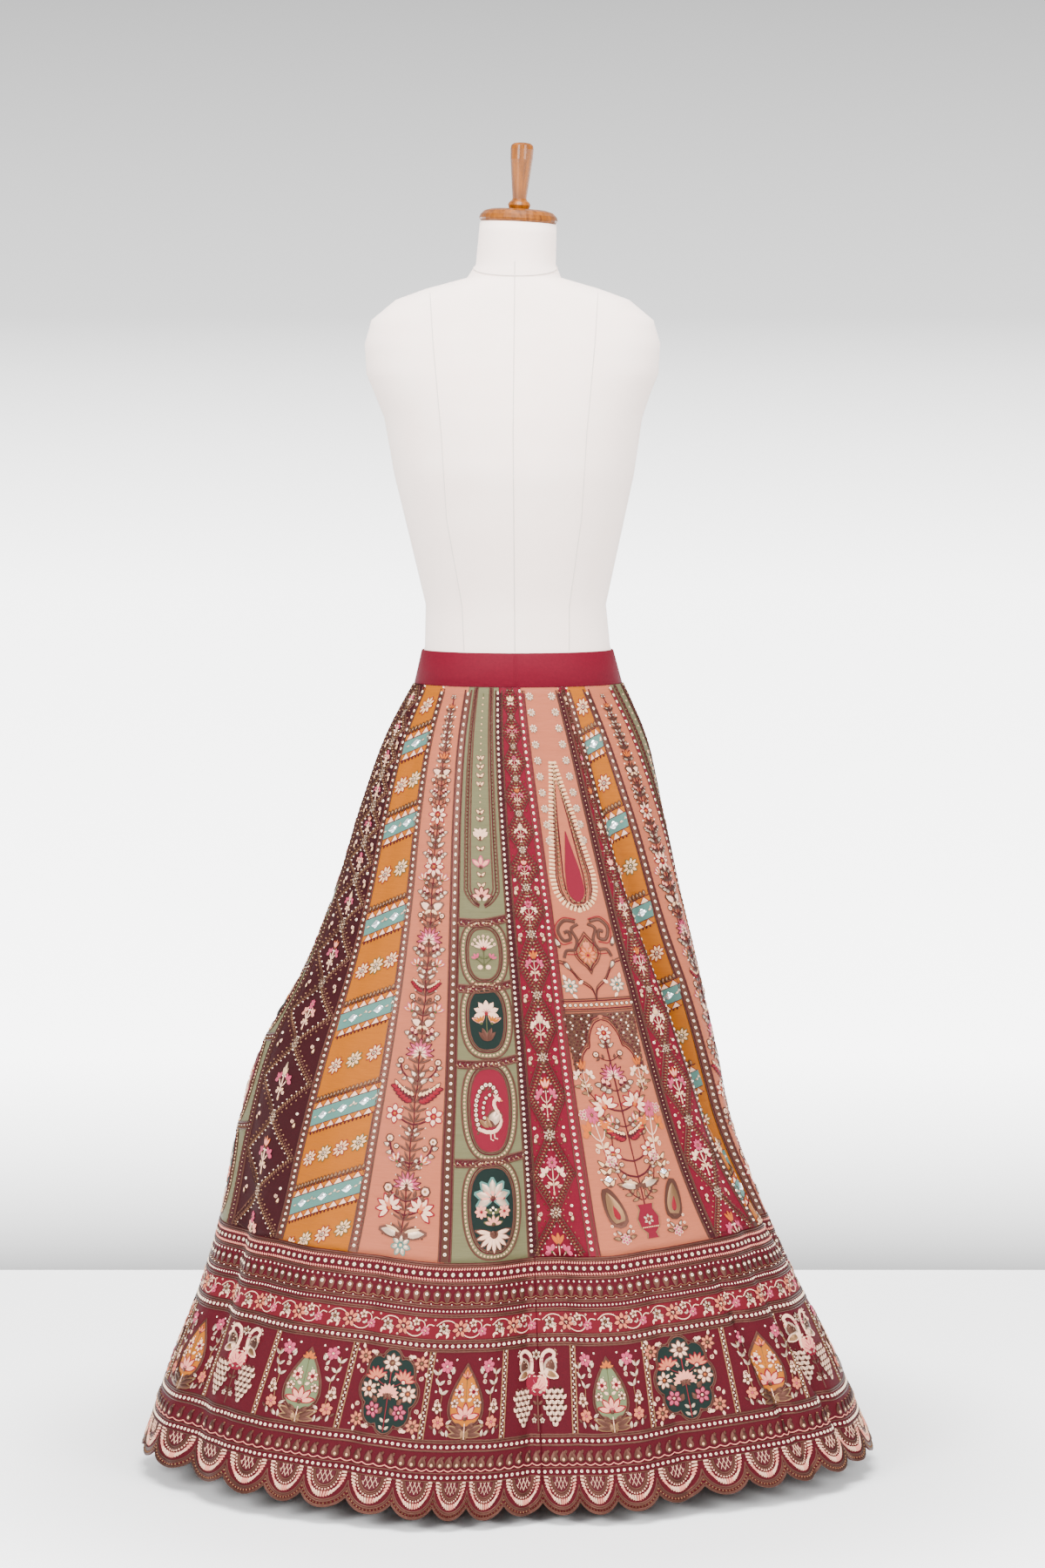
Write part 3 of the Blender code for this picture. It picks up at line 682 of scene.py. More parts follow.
for thread, (name, hex_code, metallic, rough) in METAL_THREADS.items():
    FINISHES[thread] = new_finish(name, {"Base Color": colour_of(hex_code), "Metallic": metallic,
                                         "Roughness": rough})
for thread, (name, hex_code, rough) in SILK_FLOSSES.items():
    FINISHES[thread] = new_finish(name, {"Base Color": colour_of(hex_code), "Roughness": rough,
                                         "Specular IOR Level": 0.15})
THREADS = list(FINISHES)


def work_of(u, v, h, faces, thread, anchor=0.0):
    """A piece of work: its points (anchor, u, v, h), its triangles and their thread."""
    points = np.stack(np.broadcast_arrays(anchor, u, v, h), axis=-1).reshape(-1, 4).astype(float)
    return points, faces, np.full(len(faces), THREADS.index(thread))


def joined(*works):
    """Several pieces of work as one, the triangles renumbered."""
    starts = np.cumsum([0] + [len(points) for points, _, _ in works[:-1]])
    return (np.concatenate([points for points, _, _ in works]),
            np.concatenate([faces + start for (_, faces, _), start in zip(works, starts)]),
            np.concatenate([threads for _, _, threads in works]))


def spread(work, u=0.0, v=0.0, turn=0.0, wide=1.0, tall=1.0, high=1.0, anchor=0.0):
    """Copies of a piece of work: each is sized, turned against the clock, then moved."""
    u, v, turn, wide, tall, high, anchor = (
        np.atleast_1d(value)[:, None].astype(float)
        for value in np.broadcast_arrays(u, v, turn, wide, tall, high, anchor))
    points, faces, threads = work
    across, up = points[None, :, 1] * wide, points[None, :, 2] * tall
    copies = np.stack((points[None, :, 0] + anchor,
                       u + across * np.cos(turn) - up * np.sin(turn),
                       v + across * np.sin(turn) + up * np.cos(turn),
                       points[None, :, 3] * high + 0 * u), axis=-1)
    shift = len(points) * np.arange(len(copies))[:, None, None]
    return (copies.reshape(-1, 4), (faces[None] + shift).reshape(-1, 3), np.tile(threads, len(copies)))


def sewn(stitch, u, v, size, high=1.2):
    """Upright copies of a stitch or motif, each as tall as it is wide."""
    return spread(stitch, u, v, 0, size, size, high)


def mirrored(work):
    """The same work from left to right, its triangles turned round to face outwards."""
    points, faces, threads = work
    return points * np.array([1, -1, 1, 1]), faces[:, ::-1], threads


def both_sides(*works):
    """Pieces of work and their mirror images."""
    return joined(*works, mirrored(joined(*works)))


def rings_of(radii, heights, sides):
    """A dome or ring: circles of the given radii and heights, joined in turn. Unit sized."""
    turn = np.linspace(0, 2 * math.pi, sides, endpoint=False)
    radii, heights = np.array(radii)[:, None], np.array(heights)[:, None]
    faces = grid_triangles(len(radii), sides, flip=True, closed=True)
    return radii * np.cos(turn), radii * np.sin(turn), heights + 0 * turn, faces


def bead(thread, sides=6):
    """A dome: its foot, a shoulder at 0.7 of its radius, and a flat little top."""
    return work_of(*rings_of((1.0, 0.72, 0.02), (0.0, 0.75, 1.0), sides), thread)


def dot(thread):
    """The smallest bead: a five-sided cone with a blunt tip."""
    return work_of(*rings_of((1.0, 0.25), (0.0, 1.0), 5), thread)


def ring_sequin(thread="sequin", middle="gold", rim=None):
    """A cupped ring round a dark middle. Its rim, if it has one, is a flat ring of cord."""
    parts = [work_of(*rings_of((1.0, 0.8, 0.42), (0.1, 1.0, 0.7), 6), thread),
             work_of(*rings_of((0.44, 0.03), (0.5, 0.35), 6), middle)]
    if rim:
        parts.append(work_of(*rings_of((1.42, 1.25, 1.0), (0.0, 0.8, 0.1), 7), rim))
    return joined(*parts)


def petal(thread, edge=None, fullness=0.8, steps=5):
    """A satin-stitched leaf one unit long: half its width is sin(pi t^fullness)^0.75 / 2, and
    it is domed across. Its edge is a flat leaf under it, and also colours its foot."""
    t = np.linspace(0, 1, steps)[:, None]
    s = np.array([-1.0, 0.0, 1.0])[None, :]
    half = 0.5 * np.sin(math.pi * t ** fullness) ** 0.75 + 0.01
    faces = grid_triangles(steps, 3, flip=True)
    satin = work_of(s * half, t + 0 * s, 0.65 + 0.8 * (1 - s * s) * np.sin(math.pi * t) ** 0.5, faces,
                    thread)
    parts = [satin]
    if edge:
        satin[2][faces.max(axis=1) < 6] = THREADS.index(edge)
        pair = np.array([-1.0, 1.0])[None, :]
        wider = 0.5 * np.sin(math.pi * t ** fullness) ** 0.6 + 0.2
        parts.append(work_of(pair * wider, t * 1.2 - 0.08 + 0 * pair, 0.5 + 0 * t * pair,
                             grid_triangles(steps, 2, flip=True), edge))
    return joined(*parts)


def cord(u, v, width, thread, high=0.9, anchor=0.0, closed=False, between=0.45):
    """A cord along a path: three points across it, raised in the middle. Every other row of
    them lies at its height between knots, as in twisted metal thread."""
    u, v, anchor = (np.asarray(value, float) for value in np.broadcast_arrays(u, v, anchor))
    if np.ptp(anchor) > 0:
        du, dv = np.ones_like(u), np.zeros_like(v)
    elif closed:
        du, dv = np.roll(u, -1) - np.roll(u, 1), np.roll(v, -1) - np.roll(v, 1)
    else:
        du, dv = np.gradient(u), np.gradient(v)
    size = np.hypot(du, dv) + 1e-12
    across = np.array([-0.5, 0.0, 0.5])[None, :] * width
    lift = np.array([0.0, 1.0, 0.0])[None, :] * high
    twist = np.where(np.arange(len(u)) % 2, 1.0, between)[:, None]
    points_u = u[:, None] + across * (dv / size)[:, None]
    points_v = v[:, None] - across * (du / size)[:, None]
    rows = (points_u, points_v, lift * twist + 0.2, anchor[:, None])
    if closed:
        rows = [np.concatenate((row, row[:1])) for row in rows]
    faces = grid_triangles(len(rows[0]), 3, flip=True)
    return work_of(*rows[:3], faces, thread, rows[3])


def floss(*path, **settings):
    """A smooth cord, which has no knots."""
    return cord(*path, between=1.0, **settings)


def evenly(u, v, pitch):
    """Points on a path at an equal pitch, and the path's turn from straight up at each."""
    u, v = np.asarray(u, float), np.asarray(v, float)
    run = np.concatenate(([0], np.cumsum(np.hypot(np.diff(u), np.diff(v)))))
    count = max(2, int(round(run[-1] / pitch)) + 1)
    at = np.linspace(0, run[-1], count)
    turn = np.arctan2(-np.gradient(np.interp(at, run, u)), np.gradient(np.interp(at, run, v)))
    return np.interp(at, run, u), np.interp(at, run, v), turn


def curve(points, count=24):
    """A smooth path through a few (u, v) points."""
    places = np.linspace(0, len(points) - 1, count)
    knots = np.arange(len(points), dtype=float)
    return [smooth_read(places, knots, values) for values in np.array(points, float).T]


def patch(u, v, thread, high=0.4):
    """A piece of cloth laid on: its outline, shrunk in four steps towards its middle, so that
    it bends with the cloth under it."""
    count = len(u)
    after = np.arange(count) + 1
    area = np.sum(u * v[after % count] - u[after % count] * v)
    shares = np.array([1.0, 0.72, 0.42, 0.14, 0.0])[:, None]
    faces = grid_triangles(5, count, flip=area > 0, closed=True)
    return work_of(np.mean(u) + shares * (u - np.mean(u)), np.mean(v) + shares * (v - np.mean(v)), high,
                   faces, thread)


def flower(count, size, thread, edge=None, middle="gold", u=0.0, v=0.0, turn=0.0):
    """Petals in a ring round a bead, as many and as wide as fill it, less where they have an
    edge that is to show between them."""
    at = turn + 2 * math.pi * np.arange(count) / count
    inner = 0.16 * size
    width = (0.78 if edge else 1.0) * 2 * math.sin(math.pi / count) * 0.62 * size
    petals = spread(petal(thread, edge, fullness=1.25), u - inner * np.sin(at), v + inner * np.cos(at), at,
                    width, size - inner, 1.2)
    return joined(petals, sewn(bead(middle), u, v, 0.2 * size, 1.8))


def fan(count, size, thread, edge=None, u=0.0, v=0.0, turn=0.0, open_by=140.0, wide=1.0, base="bronze"):
    """Half a flower seen from its side: petals spread from one foot, with a bead at it."""
    at = turn + np.radians(np.linspace(-open_by / 2, open_by / 2, count))
    width = wide * (0.6 if edge else 0.75) * size * math.radians(open_by) / count
    petals = spread(petal(thread, edge, fullness=1.35), u, v, at, width, size, 1.2)
    return joined(petals, sewn(bead(base), u, v, 0.2 * size, 1.8))


def curl(size, thread="white", u=0.0, v=0.0, turn=0.0, width=0.9):
    """A spiral stem whose radius shrinks as it turns one and a half times."""
    t = np.linspace(0, 1, 14)
    radius = 0.5 * size * (1 - 0.75 * t)
    spiral = floss(radius * np.cos(9.4 * t) - 0.5 * size, radius * np.sin(9.4 * t), width, thread)
    return spread(spiral, u, v, turn)


def leaf_pairs(u, v, turn, length, width, thread, edge=None, lean=0.7):
    """A leaf to either side at each place, leaning out from the stem."""
    return joined(*(spread(petal(thread, edge), u, v, np.array(turn) + side, width, length)
                    for side in (lean, -lean)))


# The way round the cloth, tabled each 10 mm up and each half degree round.
ARC_HEIGHTS = np.linspace(HEM_Z, BAND_BOTTOM_Z, 95)
ARC_ANGLES = np.radians(np.linspace(-200, 560, 1521))
arc_steps = np.diff(skirt_point(ARC_HEIGHTS[:, None], ARC_ANGLES[None, :]), axis=1)
ARCS = np.zeros((len(ARC_HEIGHTS), len(ARC_ANGLES)))
ARCS[:, 1:] = np.cumsum(np.linalg.norm(arc_steps, axis=2), axis=1)


def arc_at(angle, height):
    """The way round the cloth to an angle at a height, straight between the table's points."""
    row = np.interp(height, ARC_HEIGHTS, np.arange(len(ARC_HEIGHTS)))
    place = np.interp(angle, ARC_ANGLES, np.arange(len(ARC_ANGLES)))
    low = np.clip(row, 0, len(ARC_HEIGHTS) - 2).astype(int)
    left = np.clip(place, 0, len(ARC_ANGLES) - 2).astype(int)
    row, place = row - low, place - left
    return ((1 - row) * ((1 - place) * ARCS[low, left] + place * ARCS[low, left + 1])
            + row * ((1 - place) * ARCS[low + 1, left] + place * ARCS[low + 1, left + 1]))


def walked(angle, distance, height):
    """The angle that lies a distance along the cloth, found by halving a span of it."""
    goal = arc_at(angle, height) + distance
    low, high = angle - 0.9, angle + 0.9
    for _ in range(17):
        middle = (low + high) / 2
        short = arc_at(middle, height) < goal
        low, high = np.where(short, middle, low), np.where(short, high, middle)
    return np.where(np.abs(distance) < 1e-7, angle, (low + high) / 2)


def lay_on_skirt(angle, u, v, h):
    """Points on the cloth: walk u along it from an angle, at height v, then h out from it."""
    height = MM * v
    angle = walked(angle, MM * u, height)
    return skirt_point(height, angle) + MM * h[:, None] * cloth_normal(height, angle)


def sew_on(name, points, work):
    """The laid-on work as one object, with only the finishes that it uses."""
    _, faces, threads = work
    used, number = np.unique(threads, return_inverse=True)
    made = put_on_body(name, points, faces, [FINISHES[THREADS[k]] for k in used], number)


# ---- Border: rows of cord, sequins and pearls ----
# Couched bronze cords run round the border, most of them in pairs. Between them are ring
# sequins, knots of blush floss, drops on a garland and a row of paisleys.
FRONT_JOINT = BORDER_LENGTHS[0][1]
JOINT_ANGLE = float(scallop_angle(np.array(FRONT_JOINT)))


def angle_round(share, height):
    """The angle at a share of the way round the cloth at a height, from the front joint."""
    turns = np.linspace(0, 2 * math.pi, 2400) + JOINT_ANGLE
    steps = np.linalg.norm(np.diff(skirt_point(MM * height, turns), axis=0), axis=1)
    way = np.concatenate(([0], np.cumsum(steps)))
    return np.interp(share, way / way[-1], turns)


def sew_on_border(name, work):
    """The anchor is an angle. Each point lies u along the cloth from it."""
    sew_on(name, lay_on_skirt(*work[0].T), work)


def round_cord(height, width):
    """A bronze cord all the way round, from joint to joint, at one height."""
    places = angle_round(np.linspace(0.0003, 0.9997, 742), height)
    return cord(0, np.full(len(places), height), width, "bronze", 1.1, anchor=places)


def round_row(stitch, height, pitch, wide, tall=None, high=1.2, shift=0.0, turn=0.0):
    """A stitch repeated all the way round at one height, at about that pitch. The way round is
    taken as 2100 mm at 280 mm up, and 1.9 mm more for each millimetre below that."""
    count = round((2100 + 1.9 * (280 - height)) / pitch)
    places = angle_round((np.arange(count) + 0.5 + shift) / count % 1, height)
    return spread(stitch, 0, height, turn, wide, tall or wide, high, anchor=places)


CORD_ROWS = (
    (290.5, 1.8), (288.2, 1.8), (270.2, 1.7), (268.1, 1.7), (245, 1.7),
    (242.9, 1.7), (235, 1.8), (232.8, 1.8), (207.2, 1.8), (205, 1.8),
    (197.2, 1.8), (195, 1.8), (98.2, 1.8), (96, 1.8), (86.8, 2),
    (62.8, 1.3), (53.8, 1.3),
)
DROP_COUNT = 178
rows = [round_cord(height, width) for height, width in CORD_ROWS]
share = np.linspace(0, 1, DROP_COUNT * 6 + 1)
dip = 2.2 * np.abs(np.sin(share * DROP_COUNT * math.pi))
rows.append(floss(0, 249.6 - dip, 0.8, "gold", 0.8, anchor=angle_round(share, 250)))
scallop = FRONT_JOINT + np.linspace(0, SCALLOP_COUNT, SCALLOP_COUNT * 24 + 1)
dip = 2.2 * np.abs(np.sin(scallop * 4 * math.pi))
rows.append(floss(0, 67.2 - dip, 1.1, "blush", anchor=scallop_angle(scallop)))
sew_on_border("border_cords", joined(*rows))

drop = joined(
    spread(petal("bronze", fullness=0.6), 0, 0.62, math.pi, 0.74, 1.34, 0.8),
    sewn(ring_sequin(), 0, 0.18, 0.19, 1.8))
paisley = joined(
    spread(petal("bronze", fullness=0.62, steps=6), -0.02, 0.02, 0.0, 0.66, 0.86),
    spread(petal("bronze"), 0.02, 0.72, -1.1, 0.24, 0.36, 0.9),
    sewn(dot("gold"), 0.2, 0.88, 0.08),
    sewn(bead("pearl"), -0.02, 0.26, 0.16, 1.9))
sew_on_border("border_sequin_rows", joined(
    round_row(dot("blush"), 285.4, 3.4, 1.2, 1.7, turn=-0.5),
    round_row(ring_sequin(rim="bronze"), 279.2, 9.4, 2.3),
    round_row(dot("blush"), 273.1, 3.4, 1.2, 1.7, turn=0.5),
    round_row(dot("sequin"), 264.8, 7.2, 1.3),
    round_row(drop, 255, 2148 / DROP_COUNT, 11.2, high=1.1),
    round_row(dot("sequin"), 246.4, 2164 / DROP_COUNT, 0.9, shift=0.5),
    round_row(dot("sequin"), 239, 4.5, 1.2),
    round_row(ring_sequin(), 201.1, 7, 2),
    round_row(ring_sequin(), 91.4, 7, 2),
    spread(paisley, 0, 67.5, 0, 13.5, 15, 1.4,
           scallop_angle(FRONT_JOINT + (np.arange(4 * SCALLOP_COUNT) + 0.5) / 4)),
    round_row(ring_sequin(), 58.3, 7, 1.9)))

# ---- Border: the scallops ----
# Each scallop is half a sunflower: a lattice of ivory floss, two cords, a dotted ring, a broad
# arc of padded satin stitch, then cords and beads that follow the cut edge.
SCALLOP_MIDDLE = 52.8


def half_oval(wide, deep, steps, reach=1.0):
    """Points on the lower half of an oval round the scallop's middle, from left to right."""
    t = np.linspace(-reach, reach, steps) * math.pi / 2
    return wide * np.sin(t), SCALLOP_MIDDLE - deep * np.cos(t)


def edge_arc(inside, steps):
    """Points on the arc that runs a distance inside the cut edge, up to the neighbour's."""
    radius = SCALLOP_RADIUS / MM - inside
    top = math.asin(min(1.0, SCALLOP_HALF_WIDTH / MM / radius)) * 0.985
    t = np.linspace(-top, top, steps)
    return radius * np.sin(t), (HEM_Z + SCALLOP_RADIUS) / MM - radius * np.cos(t)


def lattice_lines(wide, deep, pitch):
    """Slanted floss lines, u = start + 0.3 deep - 0.55 t and v = middle - t, and their mirror
    images. Each is tried at 60 places, and runs from the first to the last inside the oval."""
    lines = []
    for start in np.arange(-3.5, 4) * pitch:
        t = np.linspace(0, 2 * deep, 60)
        u, v = start - 0.55 * t + 0.3 * deep, SCALLOP_MIDDLE - t
        inside = (u / wide) ** 2 + ((v - SCALLOP_MIDDLE) / deep) ** 2 < 0.94
        if inside.sum() > 4:
            ends = np.flatnonzero(inside)[[0, -1]]
            line = floss(u[ends], v[ends], 0.7, "white", 0.7)
            lines += [line, mirrored(line)]
    return lines


satin_u, satin_v = half_oval(22.2, 26.5, 23)
satin_t = np.linspace(-1, 1, 23) * math.pi / 2
satin_turn = np.arctan2(-22.2 * np.sin(satin_t), 26.5 * np.cos(satin_t) + 1e-9) + math.pi
box = np.array([(-0.5, -0.5, 0), (0.5, -0.5, 0), (0.5, 0.5, 0), (-0.5, 0.5, 0), (-0.3, -0.36, 1),
                (0.3, -0.36, 1), (0.3, 0.36, 1), (-0.3, 0.36, 1)])
box_faces = np.array([(0, 1, 5), (0, 5, 4), (1, 2, 6), (1, 6, 5), (2, 3, 7), (2, 7, 6), (3, 0, 4),
                      (3, 4, 7), (4, 5, 6), (4, 6, 7)])


def stitch(thread):
    """One padded satin stitch: a low block with sloping sides."""
    return work_of(*box.T, box_faces, thread)


pale = np.arange(23) % 7 < 4
scallop_parts = [
    patch(*half_oval(11.8, 15, 12), "wine", 0.3),
    *lattice_lines(11.2, 14.2, 5.8),
    cord(*half_oval(13.4, 16.8, 17), 1.8, "bronze"),
    cord(*half_oval(15.4, 19, 19), 1.8, "bronze"),
    sewn(dot("white"), *evenly(*half_oval(17.5, 21.3, 40, 0.95), 3.7)[:2], 1.2, 1),
    spread(stitch("white"), satin_u[pale], satin_v[pale], satin_turn[pale], 2.3, 6.2, 1.6),
    spread(stitch("blush"), satin_u[~pale], satin_v[~pale], satin_turn[~pale], 2.2, 6.2, 1.6),
    cord(*edge_arc(8.2, 17), 1.8, "bronze"),
    cord(*edge_arc(6.2, 19), 1.8, "bronze"),
    sewn(dot("gold"), *evenly(*edge_arc(4, 40), 4.2)[:2], 1.2),
    cord(*edge_arc(2, 21), 1.6, "bronze"),
    cord(*edge_arc(0.6, 21), 1.6, "bronze"),
]
scallops = spread(joined(*scallop_parts), anchor=np.arange(10, 10 + SCALLOP_COUNT))
scallops[0][:, 0] = scallop_angle(
    scallops[0][:, 0] + MM * scallops[0][:, 1] / SCALLOP_HALF_WIDTH / 2)
scallops[0][:, 1] = 0.0
sew_on_border("border_scallops", scallops)

# ---- Border: the flower vine ----
# A band of claret velvet with a wavy ivory stem, big coral flowers, small pink, ivory and
# silver ones, and leaves of ivory and silver: 33 repeats, all the way round.
VINE_REPEATS = 33
band_places = angle_round(np.linspace(0.0002, 0.9998, 320), 220)
band_row = np.stack((np.full(len(band_places), 231.2), np.full(len(band_places), 208.8)))
ground = work_of(0.0, band_row, 0.3, grid_triangles(2, len(band_places)), "claret", band_places[None, :])
vine_parts = [
    floss(*curve(((-28, 3), (-20, 8.5), (-10, 8), (-3, 2), (4, -6), (12, -9.5), (20, -8), (26, -1),
                  (30, 4), (36, 3)), 30), 1.2, "white"),
    floss(*curve(((26, -1), (24, 6), (18, 8.5), (12, 6)), 10), 1, "white"),
    curl(6, "white", -12, -2, 0.6),
    curl(5, "white", 8, -2, 3.6),
    sewn(ring_sequin("white", "wine"), (6.5, -6.5, 25, -30), (8.5, -9.5, 8.8, 9.5), 1.3, 0.9),
    flower(7, 9.6, "coral", "wine"),
    sewn(bead("pearl"), 0, 0, 1.6, 2.8),
    flower(5, 5.5, "pink", None, "pearl", 26.5, -3, 0.3),
    flower(5, 4.8, "white", "bronze", "gold", 15, 6.2, 0.2),
    flower(6, 6.2, "silver", "bronze", "gold", -19.5, 0.5, 0.1),
    leaf_pairs((-13.5, -26), (-5.5, -5), (2.0, -2.6), 5.6, 2.8, "white"),
    leaf_pairs((19, 10), (-3.5, 2), (0.6, 1.4), 4.6, 2.4, "silver"),
]
vines = spread(joined(*vine_parts), v=220,
               anchor=angle_round((np.arange(VINE_REPEATS) + 0.52) / VINE_REPEATS, 220))
sew_on_border("border_flower_vine", joined(ground, vines))

# ---- Border: the frames ----
# Twenty-four frames between upright bars of gold cord. They repeat in fours: two peacocks, a
# sage drop, a dark green rosette and a mustard drop. Drops and rosettes are patches of silk or
# velvet edged with bronze cord, with floss flowers on them and round them.
FRAME_MIDDLE = 146.5
FRONT_FRAMES = (-63.3, -46.5, -28.5, -12.1, 5.2, 22.4, 41.2, 61.3)


def drop_outline(wide, tall, steps=40, grow=0.0):
    """A drop with its tip up: u = wide sin t sin(t/2)^1.2, v = tall cos t."""
    t = np.linspace(0, 2 * math.pi, steps, endpoint=False)
    u = (wide + 1.3 * grow) * np.sin(t) * np.abs(np.sin(t / 2)) ** 1.2
    return u, (tall + grow) * np.cos(t)


def drop_frame(cloth, tip_flower):
    """The upright drop with its lotus, star flowers and feather leaves, and sprays around."""
    tip = (fan(5, 8.5, "orange", None, 0, 23.5, 0, 150) if tip_flower
           else fan(3, 8.5, "coral", "red", 0, 19, 0, 90))
    inside = [
        patch(*drop_outline(26.2, 33.5), cloth),
        cord(*drop_outline(26.2, 33.5), 1.8, "bronze", 1.4, closed=True),
        cord(*drop_outline(26.2, 33.5, 44, 2.2), 1.8, "bronze", 1.4, closed=True),
        floss((0, 0), (-20, 26), 0.8, "leaf"),
        tip,
        spread(petal("white"), (-5.5, 5.5), (8.5, 8.5), (0.9, -0.9), 4, 5.5, 1.2),
        fan(5, 16, "blush", "red", 0, -24.5, 0, 150),
        fan(3, 10, "pink", "white", 0, -24.5, 0, 70),
        both_sides(
            flower(6, 6.4, "white", "red", "wine", -8.8, 4.5),
            flower(5, 5, "white", "bronze", "gold", -14, -8),
            spread(petal("white"), -2, -5.5, 1.1, 3.6, 6, 1.2),
            sewn(dot("sequin"), (-6, -4.5, -11), (13.5, 1, -3.5), 0.9, 1.4)),
    ]
    feather = both_sides(
        spread(petal("bronze", "gold"), 0, -42.5, (1.12, 1.55), (5.8, 5.2), (22.5, 19), 1.6),
        spread(petal("bronze"), -3, -34.5, (0.95, 1.35), 4, 10, 1.4),
        curl(3.8, "gold", -3, -44, 2.2, 0.7))
    stem = floss((0, 0), (-47, -30), 1.4, "white")
    around = both_sides(
        flower(6, 7.8, "pink", None, "white", -25.5, 32.5, 0.2),
        spread(petal("silver"), (-19, -16.5, -20.5), (24, 32, 19), (-0.5, 2.4, 0.5), 3.6, 6.8, 1.1),
        leaf_pairs((-36, -34, -30), (23, 12, 2), (0.1, -0.2, -0.3), 8.6, 3.4, "silver"),
        floss(*curve(((-35, 30), (-36, 15), (-30, 2), (-31, -12), (-29, -30)), 12), 0.8, "gold"),
        curl(6.5, "white", -33, -4, 1.0),
        curl(5.2, "white", -24, 14, 4.0),
        flower(5, 6.2, "white", "bronze", "gold", -34.5, -13, 0.6),
        flower(6, 7.4, "coral", None, "pink", -32.5, -28.5, 0.2),
        spread(petal("silver"), (-21, -24, -23, -35), (-44, -43, -30, -42), (0.1, 0.7, -1.0, 0.2), 3.4,
               7.8, 1.1),
        spread(petal("bronze"), (-38, -31), (-36, -40), (0.9, -0.8), 3, 6.5, 1.1),
        sewn(dot("sequin"), (-29, -37, -20, -14, -38.5), (40, 5, -33, 40, 39), 1.3))
    return joined(*inside, feather, stem, around)


def rosette_outline(wide, tall, steps=64, grow=0.0):
    """Eight lobes: an oval whose radius swells as the size of cos 4t, from straight up."""
    t = np.linspace(0, 2 * math.pi, steps, endpoint=False)
    swell = 0.86 + 0.17 * np.abs(np.cos(4 * t)) ** 0.7
    return (wide + grow) * swell * np.sin(t), (tall + grow) * swell * np.cos(t)


def rosette_frame():
    """The dark green rosette with nine flowers on one stem, and a flower in each corner."""
    centre = [
        patch(*rosette_outline(33, 45), "dark_green"),
        cord(*rosette_outline(33, 45), 1.8, "bronze", 1.4, closed=True),
        cord(*rosette_outline(33, 45, 72, 2.1), 1.6, "bronze", 1.2, closed=True),
        floss((0, 0), (-44, 28), 1.2, "red"),
        flower(8, 10, "white", "bronze", "gold", 0, 31.5),
        fan(9, 13, "blush", None, 0, -3.5, 0, 190, 1.1),
        spread(petal("bronze"), 0, -2, (1.9, -1.9, 2.6, -2.6), 4.6, 8.5, 1.3),
        both_sides(
            fan(6, 12.8, "coral", "red", -16, 12, 0.25, 130, 1.1, "white"),
            floss(*curve(((0, 5), (-8, 7.5), (-16, 12.5)), 8), 0.9, "red"),
            flower(7, 9.6, "white", "bronze", "orange", -23.2),
            flower(6, 8.8, "pink", "wine", "white", -15.5, -21.5, 0.3),
            spread(petal("bronze"), (-9, -12), (-25.5, -13.5), (-0.5, 0.6), 5.8, 9.5, 1.3),
            spread(petal("silver"), (-1, -1), (-33.5, -41.5), (0.85, 0.95), 3.4, 6.2, 1.3),
            curl(4.2, "silver", -4, 16, 1.2, 0.8),
            sewn(bead("pearl"), (-13, -6, -11), (6, 17, -6.5), 1.6, 1.6)),
    ]
    corner = [
        flower(7, 8, "coral", "bronze", "gold", -33.5, 34.5, 0.1),
        spread(petal("white"), (-40, -27, -36, -23.5), (25, 40, 42.5, 38.5), (2.9, -1.2, 0.2, -0.7), 3.4,
               5.8, 1.2),
        curl(5.8, "white", -18, 40.5, 0.4),
        curl(5.5, "white", -36.5, 20.5, 2.0),
        sewn(dot("sequin"), (-30, -42.5), (25.5, 40.5), 1.3),
    ]
    upper = both_sides(*corner)
    points, faces, threads = upper
    lower = points * np.array([1, 1, -1, 1]), faces[:, ::-1], threads
    return joined(*centre, upper, lower)


def peacock():
    """The left bird: a hooked white neck, a dotted bronze breast, a gold wing tip and a
    hanging tail of white and silver hearts."""
    neck = curve(((-20, 33), (-22.5, 39.5), (-16, 43), (-8.5, 39), (-6, 30), (-7.2, 20), (-11, 12),
                  (-12, 4)), 22)
    rows = ((1, 3), (-5, 4), (-11, 3), (-17, 4), (-23, 3), (-29, 2), (-34.5, 1))
    places = [(-21.5 + 7.4 * (k - (count - 1) / 2), v) for v, count in rows for k in range(count)]
    at_u, at_v = np.array(places).T
    return joined(
        cord(*neck, 4.2, "white", 2),
        spread(stitch("pink"), (-7.2, -6.4), (34.5, 31), 1.3, 1, 4, 2.4),
        spread(petal("white"), -21.5, 35, 2.5, 4.2, 7.5, 1.8),
        spread(petal("coral"), -24.5, 33.5, 2.9, 2, 4.5, 1.8),
        sewn(dot("silver"), (-25, -26.5, -23.5), (42.5, 39, 44), 1.2, 1.4),
        spread(petal("bronze", "silver"), -15.5, 19, 0.25, 12, 15, 1.6),
        spread(dot("white"), (-19, -16, -13, -17.5, -14.5), (30, 30.5, 29.5, 27, 26.5), 0, 1, 1.4, 2.2),
        spread(petal("gold", "white"), -10.5, 20, 1.95, 7, 16, 1.8),
        spread(petal("white"), (-8, -6.5, -8), (17, 14.5, 11), (-1.2, -1.5, -1.9), 2.6, 6, 1.4),
        spread(petal("white"), at_u, at_v - 5, 0.6, 3.6, 6.4, 1.4),
        spread(petal("silver"), at_u, at_v - 5, -0.6, 3.6, 6.4, 1.4),
        spread(dot("bronze"), at_u, at_v + 1, 0, 1.7, 1.8, 1.4))


